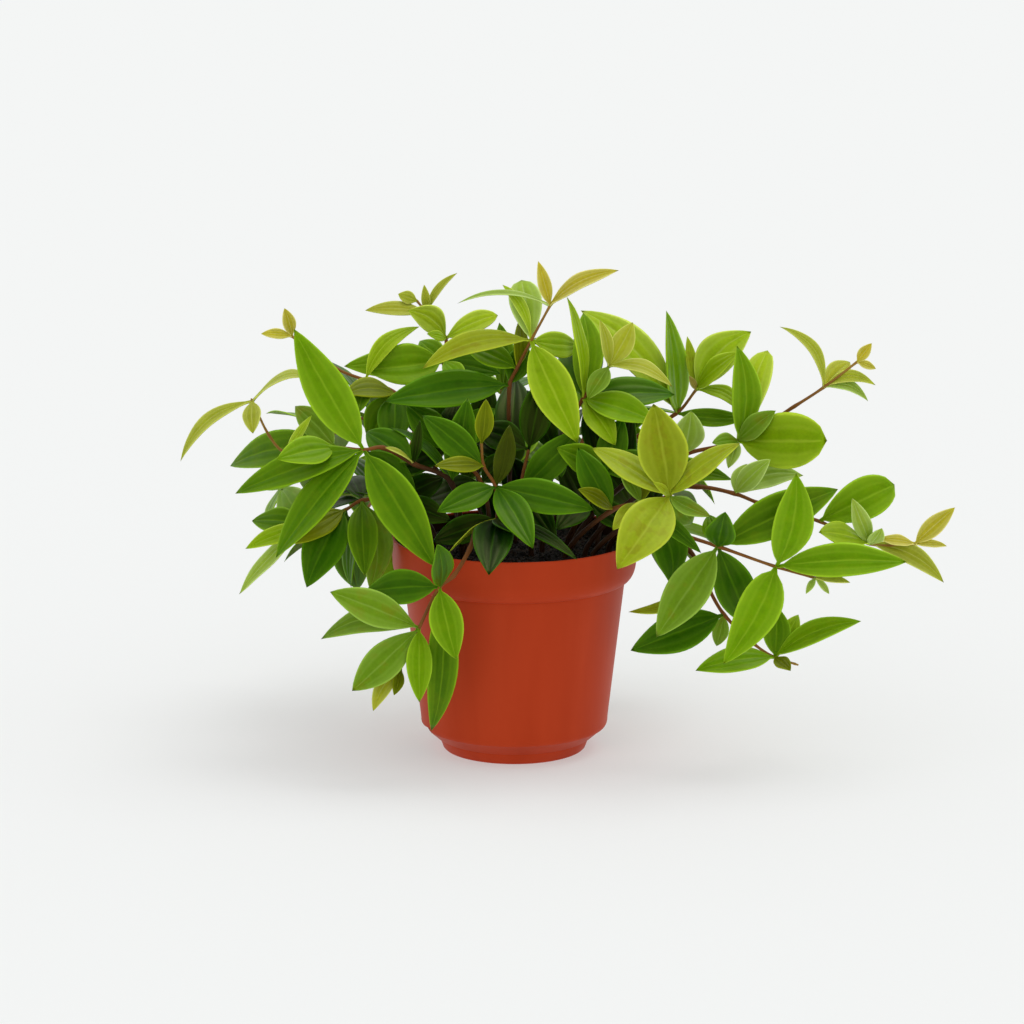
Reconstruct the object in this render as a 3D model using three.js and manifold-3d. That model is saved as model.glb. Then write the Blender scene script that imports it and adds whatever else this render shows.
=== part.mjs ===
// A potted beetle peperomia: leafy stems that rise from dark peat in a small terracotta-coloured
// plastic nursery pot, arch over its rim and trail to the left and the right.
// Units are millimetres and +Z is up. The origin is on the surface that the pot stands on, under its axis.

import * as THREE from 'three';
import { mergeVertices } from 'three/addons/utils/BufferGeometryUtils.js';
import Module from 'manifold-3d';

const wasm = await Module();
wasm.setup();

// Driving dimensions of the pot
const RIM_RADIUS = 52.5;
const POT_HEIGHT = 93;
const WALL = 1.2;
const FLOOR = 1.6;
const LIP = 0.3;
const FOOT_RADIUS = 30.8;
const FOOT_HEIGHT = 4.6;
const HEEL_STEP = [3, 0.8];
const HEEL_RADIUS = 40.2;
const HEEL_HEIGHT = 12.6;
const HEEL_ROUND = [1.4, 2.8];
const SHOULDER_RADIUS = 47.4;
const SHOULDER_HEIGHT = 74.2;
const COLLAR_RADIUS = 52.1;
const COLLAR_HEIGHT = 82.5;
const POT_FACETS = 32;
const HEEL_SLOT_TURNS = [193, 13];
const HEEL_SLOT_SIZE = [12, 18, 4.4];
const HEEL_SLOT_PITCH = 35;
const HEEL_SLOT_LEVEL = 9.8;
const FLOOR_HOLES = 4;
const FLOOR_HOLE_RADIUS = 3.5;
const FLOOR_HOLE_CIRCLE = 18;
const FLOOR_HOLE_FACETS = 8;
const ROUNDING_STEPS = 2;

// Driving dimensions of the soil
const SOIL_GAP = 0.3;
const SOIL_LEVEL = 86;
const SOIL_EDGE_DROP = 4;
const SOIL_RINGS = [50.6, 34, 17];
const SOIL_LUMP = 1.3;
const SOIL_WAVES = [0.31, 0.27, 0.12, 0.45];
const SOIL_FACETS = 24;

// Driving dimensions of the stems
const STEM_ROOT_LEVEL = 77;
const STEM_RISE_LEVEL = 91;
const STEM_SIDES = 4;
const STEM_ROOT_RADIUS = 1.6;
const STEM_TIP_RADIUS = 0.8;
const STEM_END = 1.4;
const HOLE_GAP = 0.43;
const HOLE_MOUTH = 4;

// Driving dimensions of the leaves
const MID_THICKNESS = 0.8;
const EDGE_THICKNESS = 0.62;
const STALK_WIDTH = 1.1;
const LARGE_STATIONS = [0, 0.21, 0.47, 0.75];
const PLAIN_STATIONS = [0, 0.3, 0.68];
const BLUNT_STATIONS = [0, 0.28, 0.62, 0.9];
const BLUNT_FULLNESS = 1.1;
const CREASED_WIDTH = 16;
const SMALL_WIDTH = 12;
const CREASE = 0.16;
const ARCH = 0.07;
const FULLNESS = 0.88;
const POINTEDNESS = 0.85;
const CLEARANCE = 0.4;
const LEAF_SLENDERNESS = 0.37;
const NUDGES = [0, 4, -4, 8, -8, 12, -12, 17, -17, 22, -22];

// The eye that the front of the plant is described from: 12.3 degrees above level, 1.6 m away
const EYE = new THREE.Vector3(-1, -1563, 444);

// The front stems. root is a stem's place in the soil, in plan. Each point of route is [across, up, depth]:
// across and up as seen from the eye on the upright plane through the pot's axis, and depth behind it.
// Each leaf is [route point, tip across, tip up, tip depth, width, side, rise, form]. side and rise are the
// way its face looks, in degrees right of the viewer and above level. form may give its arch, how far it
// bows towards its face over its length; its bend, how far it bows sideways, to the right hand of its
// way out; its fullness, which is larger where the blade is widest nearer to its tip; and its
// pointedness, which is smaller where its ends are blunter.
// whorls lists the route points that also carry a ring of leaves placed by rule.
const FRONT_STEMS = [
  {
    name: 'stem_trailing_left',
    root: [-12, -36],
    route: [[-16, 95, -44], [-19, 87, -52], [-26, 75, -58], [-32, 70, -60], [-41, 52, -60], [-44, 45, -59],
      [-49, 34, -58]],
    leaves: [
      [3, -25, 38, -70, 14, 5, 0],
      [3, -33, 89, -74, 12, 30, 20],
      [3, -64, 68, -52, 15, -5, 25],
      [4, -79, 68, -66, 15, 0, 30, { fullness: 1.05 }],
      [4, -41, 19, -72, 11, 15, 5],
      [3, -36, 6, -50, 13, -10, 5, { bend: -0.05 }],
      [4, -83, 47, -44, 13, -5, 40, { bend: 0.1 }],
      [4, -70, 24, -70, 15, 0, 15, { fullness: 1.05 }],
      [6, -61, 15, -64, 7, 0, 10, { bend: 0.1 }],
      [6, -52, 22, -66, 5, 20, 10],
    ],
    whorls: [],
  },
  {
    name: 'stem_front_right',
    root: [22, -24],
    route: [[42, 104, -36], [54, 107, -42], [66, 110, -48]],
    leaves: [
      [2, 44, 78, -80, 21, 0, 25],
      [2, 59, 150, -40, 21, 0, 12],
      [2, 33, 131, -58, 15, 0, 62],
      [2, 96, 133, -54, 14, 0, 62],
      [2, 59, 116, -60, 4, 0, 30],
      [2, 75, 101, -56, 4, 0, 30],
      [1, 44, 125, -44, 7, 20, 40],
      [1, 42, 95, -58, 8, 0, 40],
      [1, 56, 121, -46, 8, -20, 20],
      [2, 76, 98, -38, 12, 0, 20],
      [2, 84, 101, -40, 8, 0, 50, { bend: 0.12 }],
      [0, 27, 131, -30, 13, -10, 30],
      [0, 27, 113, -46, 8, 0, 45],
      [1, 80, 85, -36, 7, 0, 20],
    ],
    whorls: [],
  },
  {
    name: 'stem_left_front',
    root: [-22, -16],
    route: [[-27, 116, -24], [-43, 124, -30], [-56, 131, -35], [-64, 130, -37], [-76, 131, -34],
      [-97, 129, -30], [-104, 136, -29], [-111, 151, -27]],
    leaves: [
      [3, -93, 182, -42, 18, 0, 14, { bend: -0.02 }],
      [3, -34, 79, -56, 19, -5, 10],
      [3, -102, 83, -50, 17, -25, 25],
      [3, -119, 111, -38, 16, -10, 45],
      [3, -42, 110, -24, 14, 20, 20],
      [4, -121, 123, -18, 16, -5, 25, { bend: 0.03 }],
      [4, -101, 126, -44, 14, -10, 30],
      [4, -108, 113, -14, 15, 0, 35],
      [5, -86, 145, -34, 4, 0, 20],
      [4, -93, 149, -18, 12, 0, 30],
      [7, -87, 161, -42, 8, 0, 60, { bend: -0.2 }],
      [7, -142, 125, -34, 8, -20, 55, { bend: 0.13 }],
      [7, -111, 137, -42, 8, -10, 30],
      [1, -40, 143, -32, 5, 0, 10],
      [1, -55, 131, -42, 5, 0, 60],
      [1, -63, 138, -14, 15, 0, 40],
    ],
    whorls: [0],
  },
  {
    name: 'stem_front_centre',
    root: [-6, -26],
    route: [[-7, 100, -30], [-8, 114, -32], [-13, 123, -33], [-14, 133, -34]],
    leaves: [
      [1, 34, 104, -44, 15, 5, 30],
      [1, 8, 87, -60, 14, 10, 30],
      [1, -33, 103, -50, 12, 0, 25],
      [1, -2, 141, -30, 9, 20, 10],
      [2, -39, 145, -26, 13, -10, 25],
      [2, -34, 123, -40, 8, 0, 40],
      [3, -12, 152, -38, 8, 10, 10],
      [0, -11, 75, -64, 17, 0, 25],
      [0, 2, 93, -50, 12, 10, 40],
      [0, -28, 85, -52, 9, -70, 10],
      [0, 27, 82, -54, 7, 0, 65],
      [0, -35, 90, -36, 12, -10, 20],
    ],
    whorls: [],
  },
  {
    name: 'stem_right_low',
    root: [34, -22],
    route: [[58, 101, -34], [70, 94, -40], [87, 88, -44], [112, 79, -46], [129, 74, -46]],
    leaves: [
      [2, 61, 48, -62, 18, 0, 20],
      [0, 67, 72, -30, 15, 5, 5, { bend: -0.12 }],
      [2, 138, 113, -34, 18, 10, 25],
      [2, 90, 103, -62, 13, 0, 30],
      [2, 83, 102, -34, 9, 0, 30],
      [2, 101, 53, -36, 17, 0, 15],
      [3, 120, 120, -50, 17, 5, 15, { bend: 0.08 }],
      [3, 168, 81, -50, 15, 0, 30],
      [3, 90, 36, -64, 18, -10, 15, { bend: -0.04, fullness: 0.72 }],
      [4, 144, 72, -52, 4, 0, 50],
      [4, 125, 67, -52, 3, 0, 40],
      [4, 135, 67, -44, 3, 0, 40],
    ],
    whorls: [0],
  },
  {
    name: 'stem_right_lowest',
    root: [41, -7],
    route: [[56, 100, -15], [75, 86, -26], [83, 70, -28], [90, 58, -29], [103, 45, -31], [112, 39, -32],
      [121, 36, -32]],
    leaves: [
      [2, 49, 59, -34, 7, 0, 60, { bend: -0.15 }],
      [3, 50, 42, -36, 17, 0, 25],
      [3, 87, 44, -24, 7, 0, 20],
      [5, 78, 33, -42, 13, 0, 50],
      [5, 112, 62, -24, 12, 10, 15],
      [5, 149, 55, -34, 11, 0, 45, { bend: -0.08 }],
      [5, 122, 58, -20, 9, 0, 20],
      [5, 119, 33, -40, 7, 20, 30],
    ],
    whorls: [],
  },
  {
    name: 'stem_right_middle',
    root: [31, -13],
    route: [[56, 112, -17], [78, 114, -20], [94, 111, -22], [104, 107, -24], [130, 99, -27], [152, 89, -28],
      [171, 89, -28]],
    leaves: [
      [2, 109, 126, -28, 10, 0, 35],
      [2, 99, 124, -16, 8, 0, 20],
      [2, 123, 119, -14, 13, 0, 50, { bend: -0.1 }],
      [4, 162, 115, -20, 18, 0, 20, { fullness: 1.3, pointedness: 0.5 }],
      [5, 130, 94, -34, 14, 0, 50, { fullness: 1.2 }],
      [5, 144, 109, -32, 8, 0, 20],
      [5, 157, 96, -36, 7, 20, 20],
      [6, 156, 91, -34, 6, 0, 55],
      [6, 188, 105, -30, 8, 0, 15],
      [6, 185, 88, -32, 4, 0, 50],
      [5, 184, 72, -34, 9, 10, 30, { bend: -0.08 }],
    ],
    whorls: [0],
  },
  {
    name: 'stem_top_centre',
    root: [-2, 2],
    route: [[-2, 128, -2], [-2, 158, -4], [1, 165, -5], [7, 177, -6], [15, 192, -7]],
    leaves: [
      [3, 27, 133, -26, 18, 5, 12],
      [3, -39, 165, -16, 12, -5, 50, { bend: 0.1 }],
      [1, -55, 151, -16, 18, 0, 40],
      [3, 3, 203, 10, 14, 0, 20, { fullness: 1.4, pointedness: 0.5 }],
      [3, -5, 201, 2, 5, 0, 20, { bend: 0.1, fullness: 1.2 }],
      [2, -21, 175, 4, 12, 0, 45],
      [2, 2, 186, 0, 8, 40, 10],
      [4, 10, 211, -10, 6, 20, 10],
      [4, 44, 207, -14, 9, 0, 55, { arch: 0.15 }],
      [4, -24, 193, 0, 4, 0, 70, { bend: 0.16 }],
      [3, 27, 175, 14, 12, 10, 30, { bend: 0.06 }],
      [0, 2, 110, 6, 14, 0, 30],
      [0, -15, 134, 10, 11, 0, 30],
      [1, 5, 176, 2, 11, 0, 20],
    ],
    whorls: [0],
  },
  {
    name: 'stem_top_right',
    root: [12, -4],
    route: [[18, 128, -6], [29, 152, -8], [40, 166, -8]],
    leaves: [
      [1, 60, 142, -20, 15, 0, 50],
      [1, 43, 132, -22, 12, 20, 30],
      [1, 22, 196, -10, 9, 60, 10],
      [1, 29, 189, 2, 14, -20, 10, { bend: 0.08 }],
      [1, 68, 154, 2, 16, 0, 45],
      [2, 36, 186, -10, 7, 40, 10],
      [2, 50, 185, -8, 10, 0, 15],
      [2, 67, 157, -16, 9, 0, 60, { arch: 0.2 }],
      [2, 31, 152, -18, 9, -10, 30],
      [0, 20, 118, -16, 6, 30, 10],
      [0, 33, 101, 4, 13, 0, 30],
    ],
    whorls: [0, 1],
  },
  {
    name: 'stem_right_upper',
    root: [26, 2],
    route: [[48, 116, 2], [72, 128, -1], [95, 134, -5], [119, 149, -8], [131, 157, -9], [145, 168, -10]],
    leaves: [
      [2, 133, 134, -24, 24, 5, 15, { fullness: 1.25, pointedness: 0.5 }],
      [2, 94, 175, -2, 14, 20, 10, { bend: 0.08 }],
      [2, 111, 147, -8, 10, 0, 35],
      [2, 107, 173, 10, 14, -20, 20, { fullness: 1.2, pointedness: 0.5 }],
      [0, 93, 117, 6, 12, 0, 35, { bend: -0.08 }],
      [2, 84, 133, -16, 8, 0, 30],
      [2, 91, 122, -14, 6, 0, 30],
      [1, 75, 147, -8, 14, 10, 20],
      [4, 112, 183, -4, 6, -10, 60, { bend: 0.18 }],
      [4, 153, 158, -16, 6, 0, 40, { bend: -0.2 }],
      [4, 150, 151, -12, 5, 0, 30, { bend: -0.2 }],
      [4, 142, 168, 0, 10, 0, 20],
      [5, 151, 176, -12, 5, 0, 10],
      [5, 153, 165, -14, 4, 0, 40],
    ],
    whorls: [0],
  },
  {
    name: 'stem_right_spike',
    root: [14, 12],
    route: [[36, 125, 14], [69, 146, 18], [77, 156, 19]],
    leaves: [
      [1, 64, 190, 14, 18, 55, 10, { arch: 0, bend: 0.02, fullness: 0.6 }],
      [1, 99, 144, 16, 9, 0, 40, { bend: 0.08 }],
      [1, 28, 190, 18, 17, 10, 30, { arch: 0.22 }],
      [2, 100, 181, 24, 17, 10, 25, { bend: -0.12 }],
      [2, 95, 172, 12, 12, 0, 50],
      [2, 97, 146, 10, 8, 0, 50, { bend: -0.18 }],
      [2, 81, 165, 17, 3, 0, 20],
      [2, 74, 162, 15, 3, 0, 20],
      [2, 73, 179, 25, 5, 0, 30],
      [0, 50, 105, 18, 14, 0, 30],
    ],
    whorls: [0],
  },
  {
    name: 'stem_top_left',
    root: [-12, 10],
    route: [[-18, 130, 14], [-30, 168, 26], [-29, 178, 29], [-37, 189, 33], [-41, 194, 35]],
    leaves: [
      [1, -63, 164, 14, 19, -5, 25],
      [1, -72, 166, 28, 14, -10, 30],
      [1, -21, 158, 12, 9, 0, 40],
      [2, -45, 190, 22, 12, 0, 30, { bend: 0.12 }],
      [2, -7, 188, 24, 11, 0, 40, { fullness: 1.2, pointedness: 0.6 }],
      [2, -37, 180, 22, 5, 0, 30],
      [3, -24, 206, 34, 4, -30, 20, { bend: -0.08 }],
      [3, -63, 190, 32, 8, 0, 50],
      [3, -38, 201, 36, 4, 0, 10],
      [4, -49, 197, 35, 6, 0, 30],
      [1, -6, 163, 20, 11, 0, 30],
      [1, -40, 177, 30, 11, 0, 30],
    ],
    whorls: [0],
  },
  {
    name: 'stem_far_left',
    root: [-21, -3],
    route: [[-34, 130, 2], [-50, 154, 6], [-63, 160, 8], [-75, 165, 9], [-94, 179, 12]],
    leaves: [
      [1, -72, 154, -6, 12, 0, 50, { bend: 0.08 }],
      [1, -51, 132, -10, 15, -10, 20, { pointedness: 0.6 }],
      [1, -26, 150, -6, 13, 0, 35],
      [2, -66, 146, -12, 9, 0, 30],
      [1, -62, 134, 2, 15, 0, 30],
      [2, -40, 183, 40, 8, 0, 30, { bend: -0.14 }],
      [4, -97, 191, 12, 6, 20, 15],
      [4, -107, 180, 10, 5, 0, 40],
    ],
    whorls: [0],
  },
  {
    name: 'stem_left_middle',
    root: [-33, -10],
    route: [[-50, 108, -14], [-65, 108, -16], [-72, 104, -17], [-89, 97, -18]],
    leaves: [
      [2, -89, 70, -36, 18, -10, 15],
      [1, -64, 75, -34, 13, 5, 10],
      [1, -70, 70, -26, 12, -50, 10],
      [2, -67, 69, -14, 16, 0, 5],
      [1, -62, 69, -16, 14, 20, 10, { bend: -0.1 }],
      [3, -118, 67, -22, 8, -50, 15],
      [3, -115, 87, -30, 9, -10, 40],
      [3, -112, 99, -8, 13, 0, 45],
      [3, -99, 113, -4, 15, -20, 20],
      [2, -98, 89, -28, 13, -10, 35],
      [0, -27, 99, -26, 12, 0, 30],
      [0, -30, 118, -4, 12, 0, 30],
    ],
    whorls: [0, 1],
  },
  {
    name: 'stem_inner_left',
    root: [-10, -14],
    route: [[-14, 116, -14], [-28, 130, -14]],
    leaves: [
      [1, -46, 150, -10, 14, 0, 30],
      [1, -8, 148, -10, 14, 0, 30],
      [1, -54, 120, -12, 14, 0, 35],
      [1, -24, 152, 2, 13, 0, 30],
      [0, -38, 108, -12, 14, -10, 35],
      [0, 0, 128, -16, 12, 0, 30],
      [0, -5, 99, -10, 12, 0, 20],
    ],
    whorls: [],
  },
  {
    name: 'stem_inner_centre',
    root: [7, -14],
    route: [[3, 113, -18], [6, 130, -14]],
    leaves: [
      [0, 28, 139, -20, 14, 5, 25],
      [0, 18, 90, -36, 11, 5, 10],
      [1, 12, 162, -12, 14, 0, 12],
      [1, -16, 140, -4, 14, 0, 30],
      [1, 32, 152, -4, 13, 0, 30],
    ],
    whorls: [],
  },
  {
    name: 'stem_inner_right',
    root: [22, -10],
    route: [[32, 108, -20], [38, 120, -18]],
    leaves: [
      [0, 18, 95, -40, 12, 0, 30],
      [1, 18, 131, -24, 13, 0, 25],
      [1, 46, 144, -14, 13, 0, 30],
      [1, 62, 126, -12, 13, 0, 35],
      [0, 50, 96, -22, 11, 0, 30],
    ],
    whorls: [],
  },
];

// The stems of the far side, whose leaves are all placed by rule
const FAR_STEMS = [
  {
    name: 'stem_back_left',
    root: [-22, 14],
    route: [[-40, 132, 26], [-60, 144, 40], [-78, 136, 54], [-92, 120, 64]],
    whorls: [1, 2, 3],
  },
  {
    name: 'stem_back_left_low',
    root: [-34, 6],
    route: [[-48, 112, 22], [-58, 110, 38], [-66, 100, 52]],
    whorls: [1, 2],
  },
  {
    name: 'stem_back_middle_left',
    root: [-12, 24],
    route: [[-20, 116, 34], [-29, 144, 50], [-39, 150, 78], [-45, 128, 104]],
    whorls: [0, 1, 2, 3],
  },
  {
    name: 'stem_back_centre',
    root: [0, 18],
    route: [[-3, 120, 22], [-5, 154, 38], [-5, 164, 68], [-1, 144, 102]],
    whorls: [0, 1, 2, 3],
  },
  {
    name: 'stem_back_low',
    root: [3, 33],
    route: [[6, 111, 52], [10, 99, 74], [12, 74, 87], [12, 50, 91]],
    whorls: [0, 1, 2],
  },
  {
    name: 'stem_back_middle_right',
    root: [14, 24],
    route: [[22, 114, 34], [33, 142, 52], [44, 146, 78], [52, 124, 102]],
    whorls: [0, 1, 2, 3],
  },
  {
    name: 'stem_back_right',
    root: [25, 14],
    route: [[40, 124, 28], [48, 136, 46], [54, 130, 66], [56, 114, 84]],
    whorls: [1, 2, 3],
  },
  {
    name: 'stem_back_right_low',
    root: [36, 6],
    route: [[44, 110, 26], [50, 106, 42], [54, 96, 56]],
    whorls: [1, 2],
  },
];

const WHORL_LEAVES = 3;
const BACK_LEAVES = 2;
const WHORL_TURN = 137.5;
const WHORL_LENGTH = [30, 44];
const WHORL_LEAN = [0.35, 0.75];
const WHORL_LIFT = 0.6;
const WHORL_ARCH = [0.07, 0.12];
const WHORL_TILT = 0.4;
const WHORL_SEED = 11;

// Solids

function toSolid(geometry) {
  const bare = geometry.clone();
  bare.deleteAttribute('normal');
  bare.deleteAttribute('uv');
  const merged = mergeVertices(bare, 1e-4);
  const corners = merged.index.array;
  const triVerts = [];
  for (let i = 0; i < corners.length; i += 3) {
    const [a, b, c] = corners.subarray(i, i + 3);
    if (a !== b && b !== c && c !== a) {
      triVerts.push(a, b, c);
    }
  }
  return new wasm.Manifold(new wasm.Mesh({
    numProp: 3,
    vertProperties: new Float32Array(merged.attributes.position.array),
    triVerts: new Uint32Array(triVerts),
  }));
}

function toGeometry(solid) {
  const mesh = solid.getMesh();
  const geometry = new THREE.BufferGeometry();
  geometry.setAttribute('position', new THREE.BufferAttribute(new Float32Array(mesh.vertProperties), 3));
  geometry.setIndex(new THREE.BufferAttribute(new Uint32Array(mesh.triVerts), 1));
  geometry.computeVertexNormals();
  return geometry;
}

// A closed skin over rings of points. Each ring runs anticlockwise seen from the far end. The diagonals of
// the second half of a ring mirror those of the first, so that both faces of a blade bend alike.
function loft(rings, apex) {
  const sides = rings[0].length;
  const points = [...rings.flat(), apex];
  const last = points.length - 1;
  const corners = [];
  rings.forEach((ring, i) => {
    for (let k = 0; k < sides; k += 1) {
      const a = i * sides + k;
      const b = i * sides + (k + 1) % sides;
      if (i === rings.length - 1) {
        corners.push(a, b, last);
      } else if (k < sides / 2) {
        corners.push(a, b, b + sides, a, b + sides, a + sides);
      } else {
        corners.push(a, b, a + sides, b, b + sides, a + sides);
      }
    }
  });
  for (let k = 1; k + 1 < sides; k += 1) {
    corners.push(0, k + 1, k);
  }
  const geometry = new THREE.BufferGeometry().setFromPoints(points);
  geometry.setIndex(corners);
  return geometry;
}

// A solid of revolution about +Z from a profile of [radius, height] that starts and ends on the axis
function turned(profile, facets) {
  const points = profile.map(([radius, height]) => new THREE.Vector2(radius, height));
  return new THREE.LatheGeometry(points, facets).rotateX(Math.PI / 2);
}

// A quarter turn of an ellipse between two profile points, which leaves the first one level and reaches the
// second one upright
function quarter(from, to, steps) {
  const points = [];
  for (let i = 1; i < steps; i += 1) {
    const turn = (i / steps) * (Math.PI / 2);
    points.push([
      from[0] + (to[0] - from[0]) * Math.sin(turn),
      to[1] + (from[1] - to[1]) * Math.cos(turn),
    ]);
  }
  return points;
}

// The pot

function potOuter() {
  const heelStart = [FOOT_RADIUS + HEEL_STEP[0], FOOT_HEIGHT + HEEL_STEP[1]];
  const heelEnd = [HEEL_RADIUS, HEEL_HEIGHT];
  const heelTurn = [HEEL_RADIUS - HEEL_ROUND[0], HEEL_HEIGHT - HEEL_ROUND[1]];
  const shoulder = [SHOULDER_RADIUS, SHOULDER_HEIGHT];
  const collar = [COLLAR_RADIUS, COLLAR_HEIGHT];
  return [
    [0, 0],
    [FOOT_RADIUS, 0],
    [FOOT_RADIUS + HEEL_STEP[0] / 2, FOOT_HEIGHT],
    heelStart,
    heelTurn,
    ...quarter(heelTurn, heelEnd, ROUNDING_STEPS),
    heelEnd,
    shoulder,
    ...quarter(shoulder, collar, ROUNDING_STEPS),
    collar,
    [RIM_RADIUS, POT_HEIGHT - LIP],
    [RIM_RADIUS - LIP, POT_HEIGHT],
  ];
}

function potInner(gap) {
  const inset = WALL + gap;
  return [
    [RIM_RADIUS - inset, POT_HEIGHT],
    [COLLAR_RADIUS - inset, COLLAR_HEIGHT + WALL / 2],
    [SHOULDER_RADIUS - inset, SHOULDER_HEIGHT + WALL],
    [HEEL_RADIUS - inset, HEEL_HEIGHT + WALL / 2],
    [FOOT_RADIUS + HEEL_STEP[0] / 2 - gap, FOOT_HEIGHT + HEEL_STEP[1] + WALL + gap],
    [FOOT_RADIUS - inset, FLOOR + gap],
    [0, FLOOR + gap],
  ];
}

function drainCutters() {
  const cutters = HEEL_SLOT_TURNS.map((degrees) => {
    const slot = new THREE.BoxGeometry(...HEEL_SLOT_SIZE);
    slot.rotateY(THREE.MathUtils.degToRad(HEEL_SLOT_PITCH));
    slot.translate(HEEL_RADIUS - WALL, 0, HEEL_SLOT_LEVEL);
    return slot.rotateZ(THREE.MathUtils.degToRad(degrees));
  });
  for (let i = 0; i < FLOOR_HOLES; i += 1) {
    const turn = ((i + 0.5) / FLOOR_HOLES) * Math.PI * 2;
    const size = [FLOOR_HOLE_RADIUS, FLOOR_HOLE_RADIUS, 4 * FLOOR];
    const hole = new THREE.CylinderGeometry(...size, FLOOR_HOLE_FACETS);
    hole.rotateX(Math.PI / 2);
    hole.translate(FLOOR_HOLE_CIRCLE * Math.cos(turn), FLOOR_HOLE_CIRCLE * Math.sin(turn), 0);
    cutters.push(hole);
  }
  return cutters.map(toSolid);
}

function makePot() {
  const shell = toSolid(turned([...potOuter(), ...potInner(0)], POT_FACETS));
  return drainCutters().reduce((pot, cutter) => pot.subtract(cutter), shell);
}

// The soil

function soilHeight(x, y) {
  const [a, b, c, d] = SOIL_WAVES;
  const lumps = Math.sin(x * a + 1) * Math.cos(y * b) + Math.sin(x * c - y * d) / 2;
  return SOIL_LEVEL + SOIL_LUMP * lumps;
}

function makeSoil(plants) {
  const wall = potInner(SOIL_GAP).filter(([, height]) => height < SOIL_LEVEL - SOIL_EDGE_DROP);
  const top = SOIL_RINGS.map((radius) => [radius, SOIL_LEVEL]);
  const geometry = turned([...wall.reverse(), ...top, [0, SOIL_LEVEL]], SOIL_FACETS);
  const places = geometry.attributes.position;
  for (let i = 0; i < places.count; i += 1) {
    if (places.getZ(i) > SOIL_LEVEL - SOIL_GAP) {
      places.setZ(i, soilHeight(places.getX(i), places.getY(i)));
    }
  }
  const holes = plants.map((plant) => {
    const [x, y] = plant.root;
    const foot = new THREE.Vector3(x, y, STEM_ROOT_LEVEL - HOLE_GAP);
    const mouth = new THREE.Vector3(x, y, SOIL_LEVEL + HOLE_MOUTH);
    return toSolid(tube([foot, mouth], [STEM_ROOT_RADIUS + HOLE_GAP, STEM_ROOT_RADIUS + HOLE_GAP]));
  });
  return holes.reduce((soil, hole) => soil.subtract(hole), toSolid(geometry));
}

// Stems

// The point in space behind an [across, up, depth] place of the front view
function seen([across, up, depth]) {
  const onPlane = new THREE.Vector3(across, 0, up);
  const sight = onPlane.clone().sub(EYE);
  return onPlane.addScaledVector(sight, depth / -EYE.y);
}

function stemPoints(plant) {
  const [x, y] = plant.root;
  const feet = [new THREE.Vector3(x, y, STEM_ROOT_LEVEL), new THREE.Vector3(x, y, STEM_RISE_LEVEL)];
  const route = plant.route.map(seen);
  const end = route.at(-1);
  const before = route.at(-2);
  const beyond = end.clone().add(end.clone().sub(before).setLength(STEM_END));
  return [...feet, ...route, beyond];
}

function tube(points, radii) {
  const across = new THREE.Vector3(1, 0, 0);
  const rings = points.map((point, i) => {
    const ahead = points[Math.min(i + 1, points.length - 1)];
    const behind = points[Math.max(i - 1, 0)];
    const along = ahead.clone().sub(behind).normalize();
    across.addScaledVector(along, -across.dot(along)).normalize();
    const other = along.clone().cross(across);
    return Array.from({ length: STEM_SIDES }, (_, k) => {
      const turn = (k / STEM_SIDES) * Math.PI * 2;
      return point.clone()
        .addScaledVector(across, radii[i] * Math.cos(turn))
        .addScaledVector(other, radii[i] * Math.sin(turn));
    });
  });
  return loft(rings, points.at(-1));
}

function makeStem(plant) {
  const points = stemPoints(plant);
  const radii = points.map((_, i) => {
    const done = Math.max(0, i - 1) / (points.length - 2);
    return THREE.MathUtils.lerp(STEM_ROOT_RADIUS, STEM_TIP_RADIUS, done);
  });
  return toSolid(tube(points, radii));
}

// Leaves

// Half the width of a blade at a station from its base, 0, to its tip, 1, as a part of the greatest
function bladeOutline(station, leaf) {
  return Math.sin(Math.PI * station ** leaf.fullness) ** leaf.pointedness;
}

function leafGeometry(leaf, extra, firstStation) {
  const along = leaf.tip.clone().sub(leaf.base);
  const length = along.length();
  along.normalize();
  const face = leaf.face.clone().addScaledVector(along, -leaf.face.dot(along)).normalize();
  const side = along.clone().cross(face);
  const creased = leaf.drawn && leaf.width >= CREASED_WIDTH;
  const large = leaf.drawn && leaf.width > SMALL_WIDTH;
  const plain = large ? LARGE_STATIONS : PLAIN_STATIONS;
  const stations = leaf.fullness > BLUNT_FULLNESS ? BLUNT_STATIONS : plain;
  const middle = MID_THICKNESS / 2 + extra;
  const edge = EDGE_THICKNESS / 2 + extra;
  const place = (station, offset, lift) => leaf.base.clone()
    .addScaledVector(along, station * length)
    .addScaledVector(side, leaf.bend * length * 4 * station * (1 - station) + offset)
    .addScaledVector(face, leaf.arch * length * 4 * station * (1 - station) + lift);
  const rings = stations.slice(firstStation).map((station) => {
    const half = Math.max(STALK_WIDTH, leaf.width * bladeOutline(station, leaf)) / 2 + extra;
    const rise = creased ? CREASE * half : 0;
    const top = [place(station, -half, rise + edge), place(station, half, rise + edge)];
    const bottom = [place(station, half, rise - edge), place(station, -half, rise - edge)];
    if (!creased) {
      return [...top, ...bottom];
    }
    return [top[0], place(station, 0, middle), top[1], bottom[0], place(station, 0, -middle), bottom[1]];
  });
  return loft(rings, place(1 + extra / length, 0, 0));
}

function touches(one, other) {
  const a = one.boundingBox();
  const b = other.boundingBox();
  const apart = [0, 1, 2].some((i) => a.max[i] < b.min[i] || b.max[i] < a.min[i]);
  return !apart && !one.intersect(other).isEmpty();
}

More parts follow.
